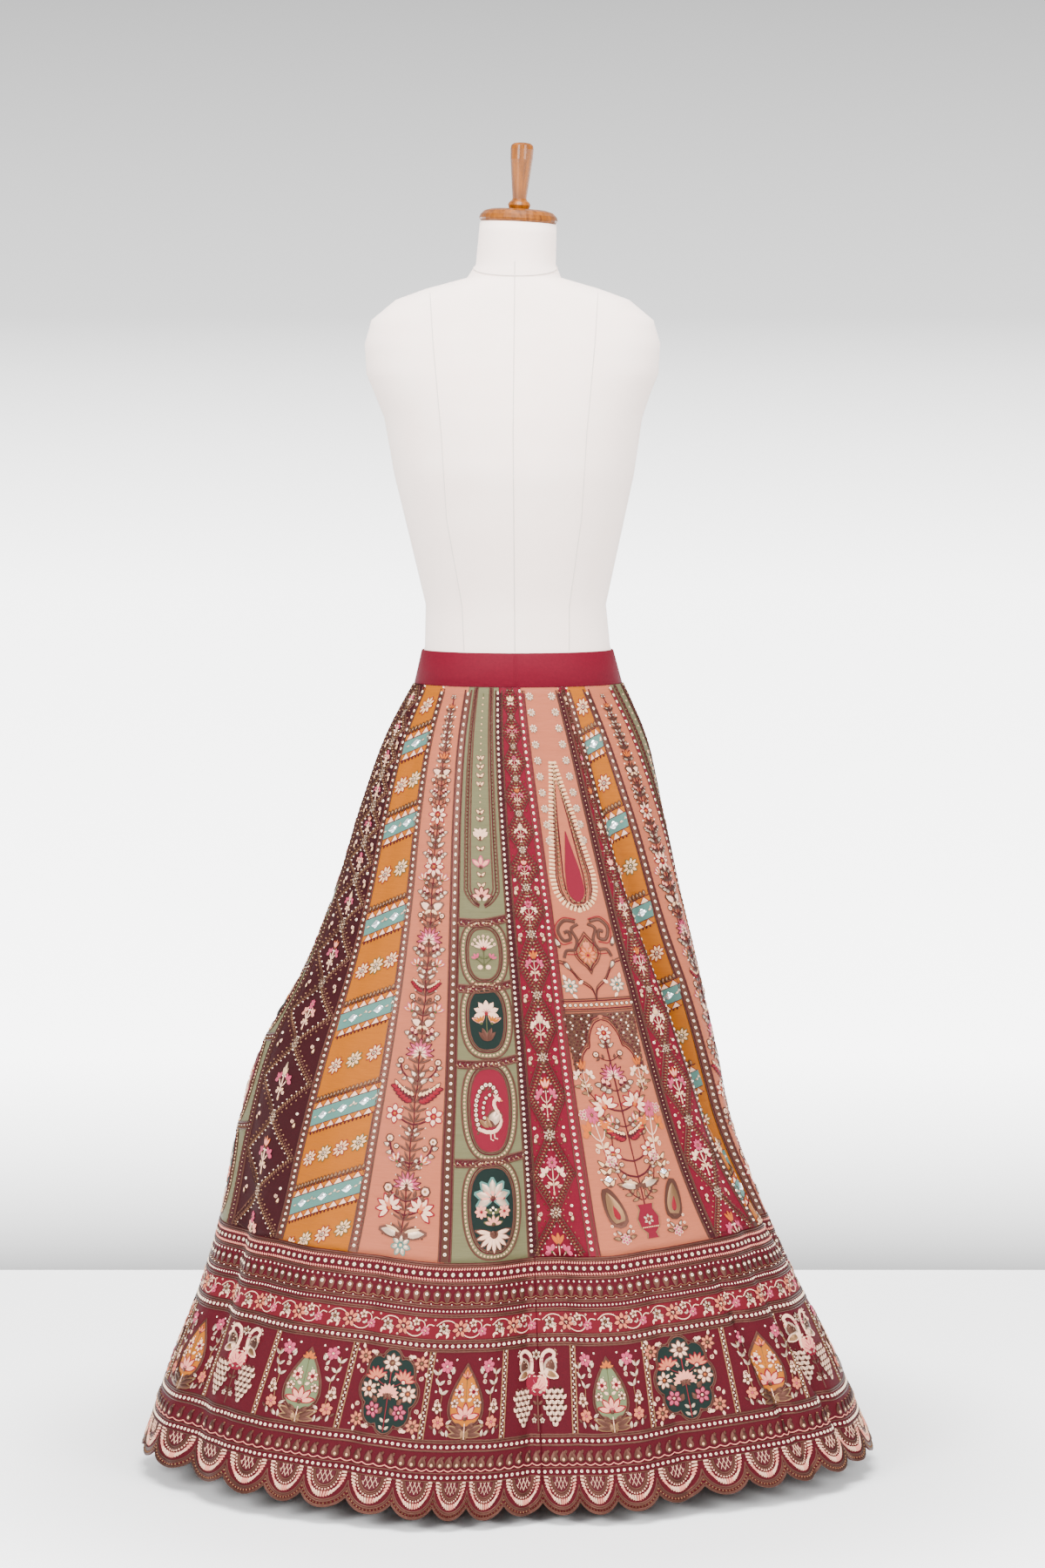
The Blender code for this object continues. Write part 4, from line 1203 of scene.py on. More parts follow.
def peacock_frame():
    """Two birds back to back beside a pink flower on a bronze stem."""
    flower_bud = joined(
        spread(petal("blush", "crimson"), -0.6, -4, 0.42, 15, 21.5, 1.6),
        spread(stitch("pink"), (-3, -4.8, -6.8), (8, 4.5, 2), (0.5, 0.7, 0.95), 0.9, 8.5, 2.4),
        spread(petal("silver"), -0.8, -3, 1.15, 4.2, 7.2, 1.3),
        spread(petal("bronze"), (-1, -1), (-16, -30), (0.9, 0.9), 3.4, 6.8, 1.2),
        flower(5, 3.4, "silver", None, "gold", -5.2, -33))
    stem = cord((0, 0), (-45, 4), 1.8, "bronze")
    star = spread(flower(6, 5.6, "silver", "bronze"), 0, 38.5)
    return joined(both_sides(peacock()), both_sides(flower_bud), stem, star)


# The eight frames in front have their own places. The other sixteen share out the rest of
# the way round, from the last of those to the first.
way = np.linspace(math.radians(FRONT_FRAMES[-1]), math.radians(FRONT_FRAMES[0] + 360), 1200)
along = np.linalg.norm(np.diff(skirt_point(MM * FRAME_MIDDLE, way), axis=0), axis=1)
along = np.concatenate(([0], np.cumsum(along)))
behind = np.interp(np.arange(1, 17) / 17 * along[-1], along, way)
frame_places = np.concatenate((np.radians(FRONT_FRAMES), behind))
frame_ways = arc_at(frame_places, MM * FRAME_MIDDLE) / MM
whole_way = arc_at(2 * math.pi, MM * FRAME_MIDDLE) / MM - arc_at(0.0, MM * FRAME_MIDDLE) / MM
gaps = np.diff(np.concatenate((frame_ways, frame_ways[:1] + whole_way)))
widths = (gaps + np.roll(gaps, 1)) / 2 / 96
frame_stitches = (
    ("border_peacock_frames", peacock_frame()),
    ("border_sage_drop_frames", drop_frame("sage", True)),
    ("border_green_rosette_frames", rosette_frame()),
    ("border_mustard_drop_frames", drop_frame("mustard", False)),
)
for first, (name, motif) in enumerate(frame_stitches):
    copies = spread(motif, v=FRAME_MIDDLE, wide=widths[first::4], anchor=frame_places[first::4])
    sew_on_border(name, copies)

bar_v = np.linspace(99, 194.5, 40)
bar = joined(
    cord(np.full(40, -2.8), bar_v, 1.6, "gold", 1.2),
    cord(np.full(40, 2.8), bar_v, 1.6, "gold", 1.2),
    sewn(dot("sequin"), np.tile((-0.9, 0.9), 14), np.linspace(101, 193, 28), 1.3, 1.4),
    sewn(dot("bronze"), np.tile((1, -1), 14), np.linspace(101, 193, 28), 1.2))
sew_on_border("border_frame_bars", spread(bar, u=gaps / 2, anchor=frame_places))

# ---- Kalis: trims over the seams ----
# A couched trim hides every seam between kalis: zari cords beside rows of ring sequins, pearls
# or satin stitches on a narrow ground, about 14 mm wide at the foot and less at the waist. Five
# patterns take turns.
PANEL_FOOT = BORDER_TOP_Z / MM + 0.6
PANEL_TOP = BAND_BOTTOM_Z / MM - 0.6
TRIMS = {
    # the ground, cords (offset, width, thread), rows (stitch, offset, pitch, size)
    "olive": ("bronze", ((-6.6, 1.6, "bronze"), (-4.8, 1.3, "wine"), (5, 1.3, "wine"),
                         (6.6, 1.6, "bronze")), (("ring", 0, 8.8, 2.1),)),
    "ladder": ("maroon", ((-6, 1.4, "bronze"), (-4.6, 1.2, "bronze"), (5, 1.2, "bronze"),
                          (6.4, 1.4, "bronze")), (("ring", -1.6, 6.4, 2), ("rung", 3, 6.4, 1.1))),
    "single": ("crimson", ((-6, 1.4, "bronze"), (2, 1.4, "bronze"), (3.8, 1.4, "bronze"),
                           (6.2, 1.2, "bronze")), (("ring", -2.2, 7.8, 2.1),)),
    "braid": ("maroon", ((-6.2, 1.5, "bronze"), (-4.4, 1.5, "bronze"), (4.4, 1.5, "bronze"),
                         (6.2, 1.5, "bronze")), (("pearl", 0, 5.2, 1.2), ("rung", 0, 5.2, 1.1))),
    "pale": ("bronze", ((-4.6, 1.6, "bronze"), (4.6, 1.6, "bronze")),
             (("ring", 0, 7.4, 1.9), ("dot", -3.2, 4.4, 0.8), ("dot", 3.2, 4.4, 0.8))),
}
TRIM_ORDER = ("pale", "braid", "pale", "pale", "olive", "ladder", "single", "braid", "pale", "olive",
              "single", "braid", "pale", "olive", "ladder", "single", "braid", "pale", "olive", "ladder")
TRIM_STITCHES = {
    "ring": ring_sequin(), "pearl": dot("pearl"), "dot": dot("red"), "rung": stitch("wine"),
}


def seam_trim(kind):
    """Cords run down the seam at their offsets, over a flat ground, with rows between them.
    All widths go from 1.08 of the table's at the border to 0.66 of them at the waist."""
    ground, cords, rows = TRIMS[kind]
    v = np.arange(PANEL_FOOT, PANEL_TOP, 3.2)
    parts = [floss(0, v[::2], 12.2, ground, 0.3)]
    for offset, width, thread in cords:
        parts.append(cord(offset, v, width, thread, 1.1))
    for name, offset, pitch, size in rows:
        shift = 0.5 * pitch if name == "pearl" else 0
        at = np.arange(PANEL_FOOT + pitch, PANEL_TOP, pitch) + shift
        wide = 4.4 if name == "rung" else size
        parts.append(spread(TRIM_STITCHES[name], offset, at, 0, wide, size, 1.3))
    points, faces, threads = joined(*parts)
    points[:, 1] *= np.interp(points[:, 2], (PANEL_FOOT, PANEL_TOP), (1.08, 0.66))
    return points, faces, threads


def lay_on_kali(number, work):
    """The anchor is the share of the way across the kali. Each point lies u along the cloth
    from it, and none goes over the edge of the border or the waistband."""
    share, u, v, h = work[0].T
    v = np.clip(v, PANEL_FOOT, PANEL_TOP)
    return lay_on_skirt(kali_angle(number, share, MM * v), u, v, h)


def clear_width(number, height):
    """The width of a kali at a height, along its cloth, between the trims on its seams."""
    left, right = (arc_at(kali_angle(number, share, MM * height), MM * height) / MM
                   for share in (0.0, 1.0))
    return np.maximum(right - left - np.interp(height, (PANEL_FOOT, PANEL_TOP), (15, 9.5)), 6)


def within_kali(work):
    """The work without the triangles that would lie past the kali's ends."""
    points, faces, threads = work
    inside = (points[:, 2] > PANEL_FOOT) & (points[:, 2] < PANEL_TOP)
    kept = inside[faces].any(axis=1)
    return points, faces[kept], threads[kept]


# ---- Kalis: the lozenge panels ----
# On crimson and maroon velvet: two zigzag bands of bugle beads cross and leave a chain of
# lozenges, each with a sprig in it and a silver star on each crossing. They grow downwards.
def sprig(kind, bloom, side):
    """A plant one unit tall: a stem with a bloom at its tip, side flowers, leaves and curls."""
    top = {"tulip": fan(3, 0.24, bloom, "orange", 0, 0.16, 0, 70, 1.2),
           "star": flower(8, 0.155, bloom, None, "gold", 0, 0.26),
           "leaf": spread(petal(bloom, "silver", 1.0), 0, 0.1, (-0.5, 0.5, 0), 0.1,
                          (0.2, 0.2, 0.3), 1.4)}[kind]
    half = joined(
        floss(*curve(((0, -0.16), (0.1, -0.1), (0.19, 0.03)), 7), 0.022, "white", 1.1),
        fan(3, 0.19, side, None, 0.19, 0.0, -0.75, 120, 1.1, "leaf"),
        spread(petal("pearl", None, 1.0), 0.01, -0.26, -1.15, 0.075, 0.17, 1.3),
        curl(0.1, "white", 0.12, -0.26, 2.6, 0.018),
        sewn(bead("sequin", 5), 0.07, 0.1, 0.022))
    return joined(floss((0, 0), (-0.46, 0.2), 0.026, "white", 1.2), top, both_sides(half),
                  sewn(dot("pearl"), 0, (-0.43, -0.47), 0.03))


bugle_points = np.array([(-0.5, -0.5, 0), (0.5, -0.5, 0), (0.5, 0.5, 0), (-0.5, 0.5, 0),
                         (0, -0.42, 1), (0, 0.42, 1)])
bugle_faces = np.array([(0, 1, 4), (1, 2, 5), (1, 5, 4), (2, 3, 5), (3, 0, 4), (3, 4, 5)])


def bugle(thread):
    """A short tube bead seen as a ridge, one unit each way."""
    return work_of(*bugle_points.T, bugle_faces, thread)


CROSSING_HEIGHTS = (252, 342, 433, 524, 597, 668, 722, 765, 807, 847, 884, 918, 952)


def lozenge_panel(number, blooms):
    """Between two crossings the beads run out to the trims and back. A sprig fills each."""
    parts = []
    for turn, (foot, top) in enumerate(zip(CROSSING_HEIGHTS, CROSSING_HEIGHTS[1:])):
        middle, tall = (foot + top) / 2, top - foot
        wide = clear_width(number, max(middle, PANEL_FOOT))
        half = 0.5 * wide - 0.6
        size = min(2.5, 0.1 * wide)
        at_u, at_v, at_turn = evenly((0.0, half, 0.0), (foot, middle, top), 3.9)
        at_u, at_v, at_turn = at_u[1:-1], at_v[1:-1], at_turn[1:-1] + math.pi / 2
        outer_u, outer_v = at_u[::2] + 2.9 * size, at_v[::2]
        outer_u, outer_v = outer_u[outer_u < half - size], outer_v[outer_u < half - size]
        lattice = joined(
            spread(bugle("gold"), at_u - 1.1 * size, at_v, at_turn, 0.75 * size, size, 1.6),
            spread(bugle("bronze"), at_u + 0.3 * size, at_v + 0.8, at_turn, 0.9 * size, 1.4 * size, 1.4),
            floss(np.array((0.0, half, 0.0)) - 2.0 * size, (foot, middle, top), 0.55 * size, "bronze",
                  1.2),
            floss(np.array((0.0, half, 0.0)) + 1.3 * size, (foot, middle, top), 0.45 * size, "bronze",
                  1.2),
            sewn(dot("sequin"), at_u[::2] - 2.9 * size, at_v[::2], 0.42 * size, 1.3),
            sewn(dot("gold"), outer_u, outer_v, 0.48 * size, 1.3))
        star = min(7.5, 0.16 * wide)
        parts += [both_sides(lattice),
                  spread(flower(8, 1.0, "silver", "bronze", "pearl"), 0, foot, 0.2, star, star)]
        if foot > PANEL_FOOT and wide > 30:
            parts.append(both_sides(
                curl(5.2, "white", 0.36 * wide, foot + 1.5, 1.9),
                spread(petal("pearl", "bronze"), 0.4 * wide, foot - 9.5, -0.2, 3.4, 6.6, 1.2),
                sewn(ring_sequin(), 0.41 * wide, foot + 8.5, 1.9)))
        kind, bloom, other = blooms[turn % len(blooms)]
        if wide > 19:
            inside = sprig(kind, bloom, other)
        else:
            inside = joined(fan(3, 0.42, bloom, None, 0, 0.0, 0, 80, 1.2),
                            both_sides(spread(petal("white"), 0, -0.05, -2.0, 0.13, 0.3, 1.2)))
        parts.append(spread(inside, 0, middle, 0, min(0.52 * tall, 0.86 * wide), 0.56 * tall))
    return joined(*parts)


# ---- Kalis: the banded panels ----
# On mustard silk: bands of teal silk rise to the right, with small mirrors along their middle
# and ivory satin triangles, gold leaves and wine beads at their edges. Cream rosettes with
# silver sequins lie in rows between them.
BANDS = (
    # middle of the teal band, its depth
    (351, 20), (456, 20), (569, 19.5), (679, 18.5), (789, 17),
    (885, 15),
)
BAND_SLOPE = 0.42
TOOTH = 7.4
MIRROR_EYE = joined(
    spread(work_of(*rings_of((1.0, 0.78, 0.02), (0.3, 1.0, 0.8), 4), "mirror"), 0, 0, 0, 6.6, 5, 1.8),
    spread(petal("silver", None, 1.0, 4), (-7.8, 7.8), 0, (1.57, -1.57), 2.6, 4.8, 1.6))
tooth_points = np.array([(-0.5, 0, 0.5), (0.5, 0, 0.5), (0, 1, 0.5), (0, 0.35, 1)])
tooth_faces = np.array([(0, 1, 3), (1, 2, 3), (2, 0, 3)])


def tooth(thread):
    """One satin triangle, a unit wide and tall."""
    return work_of(*tooth_points.T, tooth_faces, thread)


def in_a_row(count, wide):
    """The middles of equal shares of a width, from left to right."""
    return (np.arange(count) - (count - 1) / 2) * wide / count


def toothed_row(wide, foot):
    """Ivory satin triangles on a mustard strip, with a red zigzag and two wine edge cords."""
    count = max(3, round(wide / 10.6))
    at = in_a_row(count, wide)
    zigzag = np.linspace(-0.5, 0.5, 2 * count + 1) * wide
    strip = np.linspace(-0.5, 0.5, 12) * (wide + 4)
    line = np.linspace(-0.5, 0.5, max(8, int(wide / 3))) * (wide + 4)
    return joined(
        work_of(strip[None, :], np.array((foot + TOOTH, foot))[:, None], 0.6, grid_triangles(2, 12),
                "mustard"),
        spread(tooth("white"), at, foot + 0.4, 0, 0.84 * wide / count, 0.88 * TOOTH, 1.8),
        floss(zigzag, foot + TOOTH * (np.arange(2 * count + 1) % 2), 1.2, "red", 1.3),
        cord(line, foot, 1.3, "wine", 1.3),
        cord(line, foot + TOOTH, 1.3, "wine", 1.3))


def banded_panel(number):
    """Every row is drawn level, then lifted by the slope times its distance to the right."""
    parts = []
    tops = [middle + depth / 2 for middle, depth in BANDS]
    feet = [middle - depth / 2 for middle, depth in BANDS]
    for (middle, deep), top, foot in zip(BANDS, tops, feet):
        wide = clear_width(number, middle)
        u = np.linspace(-0.5, 0.5, 2 + int(wide / 6)) * (wide + 4)
        rows = np.array((0.5, 0.17, -0.17, -0.5))[:, None] * deep
        fine = np.arange(-0.5 * wide + 1, 0.5 * wide, 4.6)
        mirrors = max(1, round(wide / 27))
        eyes = in_a_row(mirrors, wide)
        parts += [
            work_of(u[None, :], middle + rows, 0.5, grid_triangles(4, len(u)), "teal"),
            toothed_row(wide, top + 0.4),
            toothed_row(wide, foot - 0.4 - TOOTH),
            spread(MIRROR_EYE, eyes, middle),
            spread(tooth("silver"), eyes + 0.5 * wide / mirrors, middle + 1, 0, 4, 3.6, 1.4),
            spread(petal("gold", "bronze", 1.0, 4), fine, top + TOOTH + 1.2, 0, 3.4, 6.2, 1.6),
            spread(bead("wine", 5), fine, foot - TOOTH - 2.4, 0, 1.3, 1.5, 1.3)]
    for low, high in zip([262] + tops, feet + [PANEL_TOP + 10]):
        middle, gap = (low + high) / 2 + 1.5, high - low - 2 * TOOTH - 8
        if gap < 14:
            continue
        wide = clear_width(number, max(middle, PANEL_FOOT))
        count = max(1, round(wide / 21.5))
        at = in_a_row(count, wide)
        size = min(9.4, 0.17 * gap + 2.6)
        for first, edge in ((0, "red"), (1, "leaf")):
            if count > first:
                turn = 0.1 + first
                parts += [
                    spread(flower(9, 1.0, "pearl", edge), at[first::2], middle, turn, size, size),
                    sewn(ring_sequin("silver", "wine"), at[first::2], middle, 0.3 * size, 2.4)]
    points, faces, threads = joined(*parts)
    points[:, 2] += BAND_SLOPE * points[:, 1]
    return points, faces, threads


# ---- Kalis: the medallion panels ----
# On sage silk: a long nested drop hangs from the waist with a spray in it. Below it, beaded
# bars part the kali into four fields, each with a design in floss, the lowest three on an oval
# patch of cloth.
BAR_HEIGHTS = (409, 521, 608, 684)
MEDALLIONS = (
    # middle, wide, tall, cloth, design
    (352, 56, 96, "dark_green", "lotus"),
    (465, 48, 96, "crimson", "bird"),
    (569, 42, 70, "dark_green", "tulips"),
    (645, 37, 59, "sage", "spray"),
)


def stadium(wide, tall, steps=36):
    """A long oval with nearly straight sides: a circle's sine and cosine, made blunter."""
    t = np.linspace(0, 2 * math.pi, steps, endpoint=False)
    return (0.5 * wide * np.sign(np.sin(t)) * np.abs(np.sin(t)) ** 0.72,
            0.5 * tall * np.sign(np.cos(t)) * np.abs(np.cos(t)) ** 0.86)


def lotus_design():
    """A silver lotus over blush flowers and a white fan, in a field one unit tall."""
    return joined(
        fan(7, 0.24, "silver", "teal", 0, 0.15, 0, 230, 1.1),
        fan(5, 0.17, "blush", "red", 0, 0.13, 0, 170, 1.1, "wine"),
        both_sides(flower(8, 0.095, "blush", None, "red", 0.17, -0.03),
                   spread(petal("leaf"), 0, -0.05, -1.2, 0.06, 0.15, 1.2)),
        sewn(bead("sequin", 5), (0, -0.04, 0.04, 0), (0.02, -0.01, -0.01, -0.05), 0.022, 1.4),
        spread(mirrored(fan(9, 0.25, "white", "bronze", 0, 0.12, 0, 200, 0.95)), 0, -0.2, math.pi),
        fan(5, 0.13, "blush", "leaf", 0, -0.2, 0, 150))


def bird_design():
    """A white peacock that looks to the right, its train of ring sequins curling over it."""
    train_u, train_v, _ = evenly(*curve(((-0.16, -0.24), (-0.2, -0.08), (-0.19, 0.12), (-0.1, 0.3),
                                         (0.02, 0.33), (0.09, 0.24)), 40), 0.065)
    inner_u, inner_v, _ = evenly(*curve(((-0.07, -0.16), (-0.1, 0.0), (-0.06, 0.15), (0.0, 0.2)), 30),
                                 0.07)
    return joined(
        cord(*curve(((0.15, 0.13), (0.1, 0.15), (0.06, 0.1), (0.08, 0.02), (0.14, -0.07), (0.15, -0.17),
                     (0.08, -0.26), (-0.04, -0.28), (-0.17, -0.24)), 26), 0.055, "white", 2.4),
        spread(petal("silver", "bronze"), -0.01, -0.18, (-0.5, -0.9), 0.12, 0.2, 1.8),
        spread(petal("gold"), (0.01, -0.03), -0.22, (0.5, 0.9), 0.07, 0.17, 1.8),
        spread(petal("white"), 0.09, 0.15, (-0.5, 0.1, 0.6), 0.022, 0.07, 1.4),
        spread(petal("coral"), 0.13, 0.13, -1.8, 0.025, 0.06, 1.4),
        floss((0.05, 0.06, 0.1), (-0.28, -0.36, -0.37), 0.018, "white"),
        floss((0.0, 0.0, 0.04), (-0.28, -0.37, -0.39), 0.018, "white"),
        sewn(ring_sequin(rim="bronze"), train_u, train_v, 0.028, 1.4),
        sewn(ring_sequin(rim="bronze"), inner_u, inner_v, 0.022, 1.4),
        spread(petal("bronze"), train_u, train_v - 0.02, 2.6, 0.03, 0.07))


def tulips_design():
    """A white lotus above two mustard tulips and bronze leaves."""
    return joined(
        fan(7, 0.24, "white", None, 0, 0.12, 0, 210, 1.0, "red"),
        fan(5, 0.14, "pink", "wine", 0, 0.13, 0, 150),
        floss((0, 0), (-0.38, 0.12), 0.02, "leaf"),
        both_sides(fan(4, 0.17, "mustard", "blush", 0.1, -0.06, -0.35, 80, 1.1, "leaf"),
                   spread(petal("bronze"), 0, -0.38, (-0.35, -0.75), 0.09, (0.26, 0.23), 1.4),
                   sewn(bead("sequin", 5), 0.15, 0.05, 0.022, 1.3)))


def spray_design():
    """A white fan and white sequins over a red heart, with pink tulips and round leaves."""
    turns = np.radians(np.linspace(-70, 70, 7))
    return joined(
        fan(7, 0.23, "white", None, 0, 0.12, 0, 150, 0.8, "red"),
        sewn(ring_sequin("white"), -0.26 * np.sin(turns), 0.12 + 0.26 * np.cos(turns), 0.035, 1.4),
        fan(3, 0.12, "red", None, 0, 0.08, 0, 90),
        floss((0, 0), (-0.33, 0.1), 0.018, "leaf"),
        both_sides(fan(3, 0.13, "pink", None, 0.16, -0.1, -0.5, 90, 1.1, "leaf"),
                   floss((0, 0.16), (-0.24, -0.1), 0.016, "leaf"),
                   spread(bead("white", 8), 0.09, -0.28, 0, 0.06, 0.05, 1.4),
                   spread(petal("leaf"), 0.02, -0.1, -1.0, 0.05, 0.12, 1.2)))


DESIGNS = {"lotus": lotus_design(), "bird": bird_design(), "tulips": tulips_design(),
           "spray": spray_design()}


def medallion_panel(number):
    """The four fields from the border up, then the drop. Widths follow the kali's own."""
    parts = []
    for middle, wide, tall, cloth, design in MEDALLIONS:
        clear = clear_width(number, middle)
        wide = min(wide, 0.7 * clear)
        beaded_u, beaded_v, _ = evenly(*stadium(wide + 12.5, tall + 12.5, 60), 4.4)
        ground = [] if cloth == "sage" else [patch(*stadium(wide, tall), cloth)]
        field = joined(
            *ground,
            cord(*stadium(wide, tall), 2.4, "bronze", 1.6, closed=True),
            cord(*stadium(wide + 5.2, tall + 5.2, 40), 1.6, "wine", 1.2, closed=True),
            sewn(dot("pearl"), beaded_u, beaded_v, 1.5, 1.5),
            cord(*stadium(wide + 19, tall + 19, 44), 2.2, "bronze", 1.4, closed=True),
            spread(DESIGNS[design], 0, 0, 0, min(0.9 * tall, 1.75 * wide), 0.92 * tall))
        parts.append(spread(field, v=middle))
    for height in BAR_HEIGHTS:
        wide = clear_width(number, height)
        u = np.linspace(-0.5, 0.5, 2 + int(wide / 3)) * (wide + 3)
        v = height + 0.09 * u - 3 * np.cos(3 * u / wide)
        parts += [
            work_of(u, np.stack((v + 4.2, v - 4.2)), 0.3, grid_triangles(2, len(u)), "wine"),
            cord(u, v - 4.2, 2.2, "bronze", 1.5),
            cord(u, v + 4.2, 2.2, "bronze", 1.5),
            spread(bugle("gold"), u[::2], v[::2] - 1.8, 0.8, 1.8, 3.6, 1.2),
            spread(bugle("bronze"), u[1::2], v[1::2] + 1.4, -0.8, 1.8, 3.4, 1.2),
            sewn(dot("sequin"), u[1::3], v[1::3], 1.1, 1.4)]
    v = np.linspace(699, PANEL_TOP, 80)
    reach = 0.4 * clear_width(number, v) * np.sqrt(np.minimum(1, (v - 698.5) / 18))
    for share, thread, width in ((1.0, "bronze", 2), (0.82, "wine", 1.4), (0.66, "bronze", 1.8)):
        lift = 8.5 * (1 - share)
        parts.append(both_sides(cord(share * reach, v + lift, width, thread, 1.2)))
    beads = np.arange(708, PANEL_TOP, 4.2)
    parts.append(both_sides(sewn(dot("gold"), 0.9 * np.interp(beads, v, reach), beads, 0.9)))
    parts.append(floss((0, 0), (706, 945), 0.9, "leaf"))
    sprays = np.array((722, 734, 764, 776, 798, 806, 838, 848, 858, 868))
    parts += [
        leaf_pairs(0, sprays, 0.0, 6.6, 2.8, "pearl", "bronze", 0.75),
        fan(3, 12, "blush", "pink", 0, 745, 0, 100),
        fan(5, 11.5, "blush", "wine", 0, 711, 0, 170),
        fan(3, 11, "white", None, 0, 779, 0, 110, 1.1),
        both_sides(spread(petal("white"), 1, (706.5, 784), -0.9, 4.2, 8.5, 1.3)),
        sewn(bead("pearl", 5), 0, np.arange(812, 945, 7.5), 1.1, 1.4)]
    return joined(*parts)


# ---- Kalis: the vine panels ----
# On peach silk: one tall plant climbs the middle of the kali on a wine floss stem, with leaf
# sprays, tulips, fans and ring-sequin buds in pairs, larger towards its foot.
VINE = (
    # height, motif, reach to either side
    (307, "foot", 12), (321, "plumes", 26), (349, "fans", 30),
    (364, "buds", 27), (380, "aster", 15), (402, "tulips", 22),
    (413, "arms", 27), (434, "leaves", 10), (453, "stars", 30),
    (477, "feathers", 28), (496, "leaves", 14), (506, "arms", 23),
    (533, "aster", 15), (548, "clusters", 19), (562, "petals", 13),
    (577, "tulips", 21), (589, "buds", 18), (603, "feathers", 17),
    (617, "leaves", 11), (630, "tulips", 18), (646, "clusters", 18),
    (664, "aster", 14), (684, "buds", 16), (697, "petals", 14),
    (712, "clusters", 17), (729, "tulips", 17), (744, "bloom", 12),
    (757, "clusters", 14), (769, "leaves", 12), (782, "clusters", 13),
    (804, "bloom", 11), (818, "buds", 13), (829, "clusters", 12),
    (841, "buds", 12), (852, "petals", 11), (870, "bud", 9),
    (884, "leaves", 8), (895, "leaves", 8), (906, "leaves", 7),
    (917, "leaves", 6), (928, "bud", 5), (939, "leaves", 4),
)


def vine_motifs():
    """Each pair of leaves or flowers, with a reach of one unit from the stem."""
    stalk = cord(*curve(((0, -0.25), (0.35, -0.15), (0.75, 0.12)), 6), 0.07, "wine", 1.1)
    leaflet = petal("silver", "bronze", 1.0, 4)
    arc = np.linspace(0, 1, 6)
    feather = joined(
        spread(petal("red", "wine"), 0.1 + 0.6 * arc, -0.1 + 0.42 * arc ** 1.5, -1.9 + 0.5 * arc, 0.15,
               0.34, 1.3),
        spread(petal("pearl", "wine", 1.0, 4), 0.1 + 0.62 * arc, -0.05 + 0.42 * arc ** 1.5,
               -0.4 - 0.3 * arc, 0.13, 0.3, 1.2),
        cord(0.08 + 0.8 * arc, -0.1 + 0.5 * arc ** 1.5, 0.05, "wine", 1.2))
    plume = joined(
        spread(petal("silver", "bronze"), 0.06, -0.06, -1.45, 0.36, 0.92, 1.6),
        spread(petal("pearl"), 0.12, 0.02, -1.25, 0.16, 0.7, 2),
        sewn(bead("bronze", 5), 0.15 + 0.75 * arc, -0.24 + 0.1 * arc, 0.05, 1.3))
    return {
        "leaves": both_sides(spread(leaflet, 0.05, (-0.3, 0.15), (-1.0, -0.7), 0.34, (0.95, 0.75), 1.2)),
        "petals": both_sides(spread(petal("white", "bronze"), 0.06, -0.1, -1.15, 0.55, 0.95, 1.4),
                             spread(petal("pearl"), 0.02, -0.2, -2.1, 0.3, 0.6, 1.2)),
        "clusters": both_sides(
            stalk, spread(leaflet, (0.2, 0.42, 0.66), (-0.16, -0.06, 0.08), (-1.9, -1.7, -1.3), 0.24, 0.4,
                          1.2),
            spread(petal("blush", "wine", 1.0, 4), (0.3, 0.56), (0.0, 0.1), (-0.3, -0.1), 0.22, 0.4, 1.2)),
        "buds": both_sides(
            stalk, sewn(ring_sequin("white", rim="bronze"), 0.8, 0.22, 0.17, 1.4),
            spread(petal("bronze"), (0.35, 0.6), (-0.1, -0.02), (-0.2, -2.2), 0.16, 0.34, 1.1)),
        "tulips": both_sides(
            stalk, fan(3, 0.44, "white", "pink", 0.66, -0.02, -0.55, 80, 1.1, "leaf"),
            spread(petal("orange"), 0.7, 0.02, (-1.3, 0.1), 0.12, 0.34, 1.6),
            spread(leaflet, 0.3, -0.1, (-2.1, -0.3), 0.2, 0.36, 1.1)),
        "arms": both_sides(
            cord(*curve(((0, -0.45), (0.45, -0.3), (0.8, 0.02), (0.92, 0.42)), 12), 0.09, "wine", 1.3),
            sewn(ring_sequin("white", rim="bronze"), (0.92, 0.62), (0.5, 0.2), (0.14, 0.1), 1.4),
            spread(leaflet, (0.5, 0.72, 0.86), (-0.26, -0.05, 0.18), (-2.0, -1.7, -1.2), 0.15, 0.3, 1.2)),
        "stars": both_sides(stalk, flower(6, 0.34, "white", "red", "orange", 0.74, 0.1)),
        "fans": both_sides(
            stalk, fan(7, 0.5, "white", "red", 0.6, -0.04, -0.45, 220, 1.0, "orange"),
            spread(petal("coral"), 0.6, -0.02, (-0.2, -0.8), 0.14, 0.28, 1.8)),
        "feathers": both_sides(feather),
        "plumes": both_sides(plume),
        "aster": joined(fan(9, 1.0, "pink", "wine", 0, -0.3, 0, 200, 0.9),
                        fan(5, 0.62, "white", None, 0, -0.3, 0, 150, 1.0, "orange"),
                        both_sides(spread(petal("white"), 0.05, -0.35, (-2.2, -1.8), 0.16, 0.62, 1.3))),
        "bloom": flower(8, 0.95, "white", "red", "orange"),
        "bud": joined(fan(3, 1.1, "orange", "wine", 0, -0.4, 0, 70, 1.1),
                      both_sides(spread(leaflet, 0.05, -0.6, -1.3, 0.3, 0.9, 1.2))),
        "foot": flower(7, 0.9, "silver", "teal", "pearl"),
    }


VINE_MOTIFS = vine_motifs()


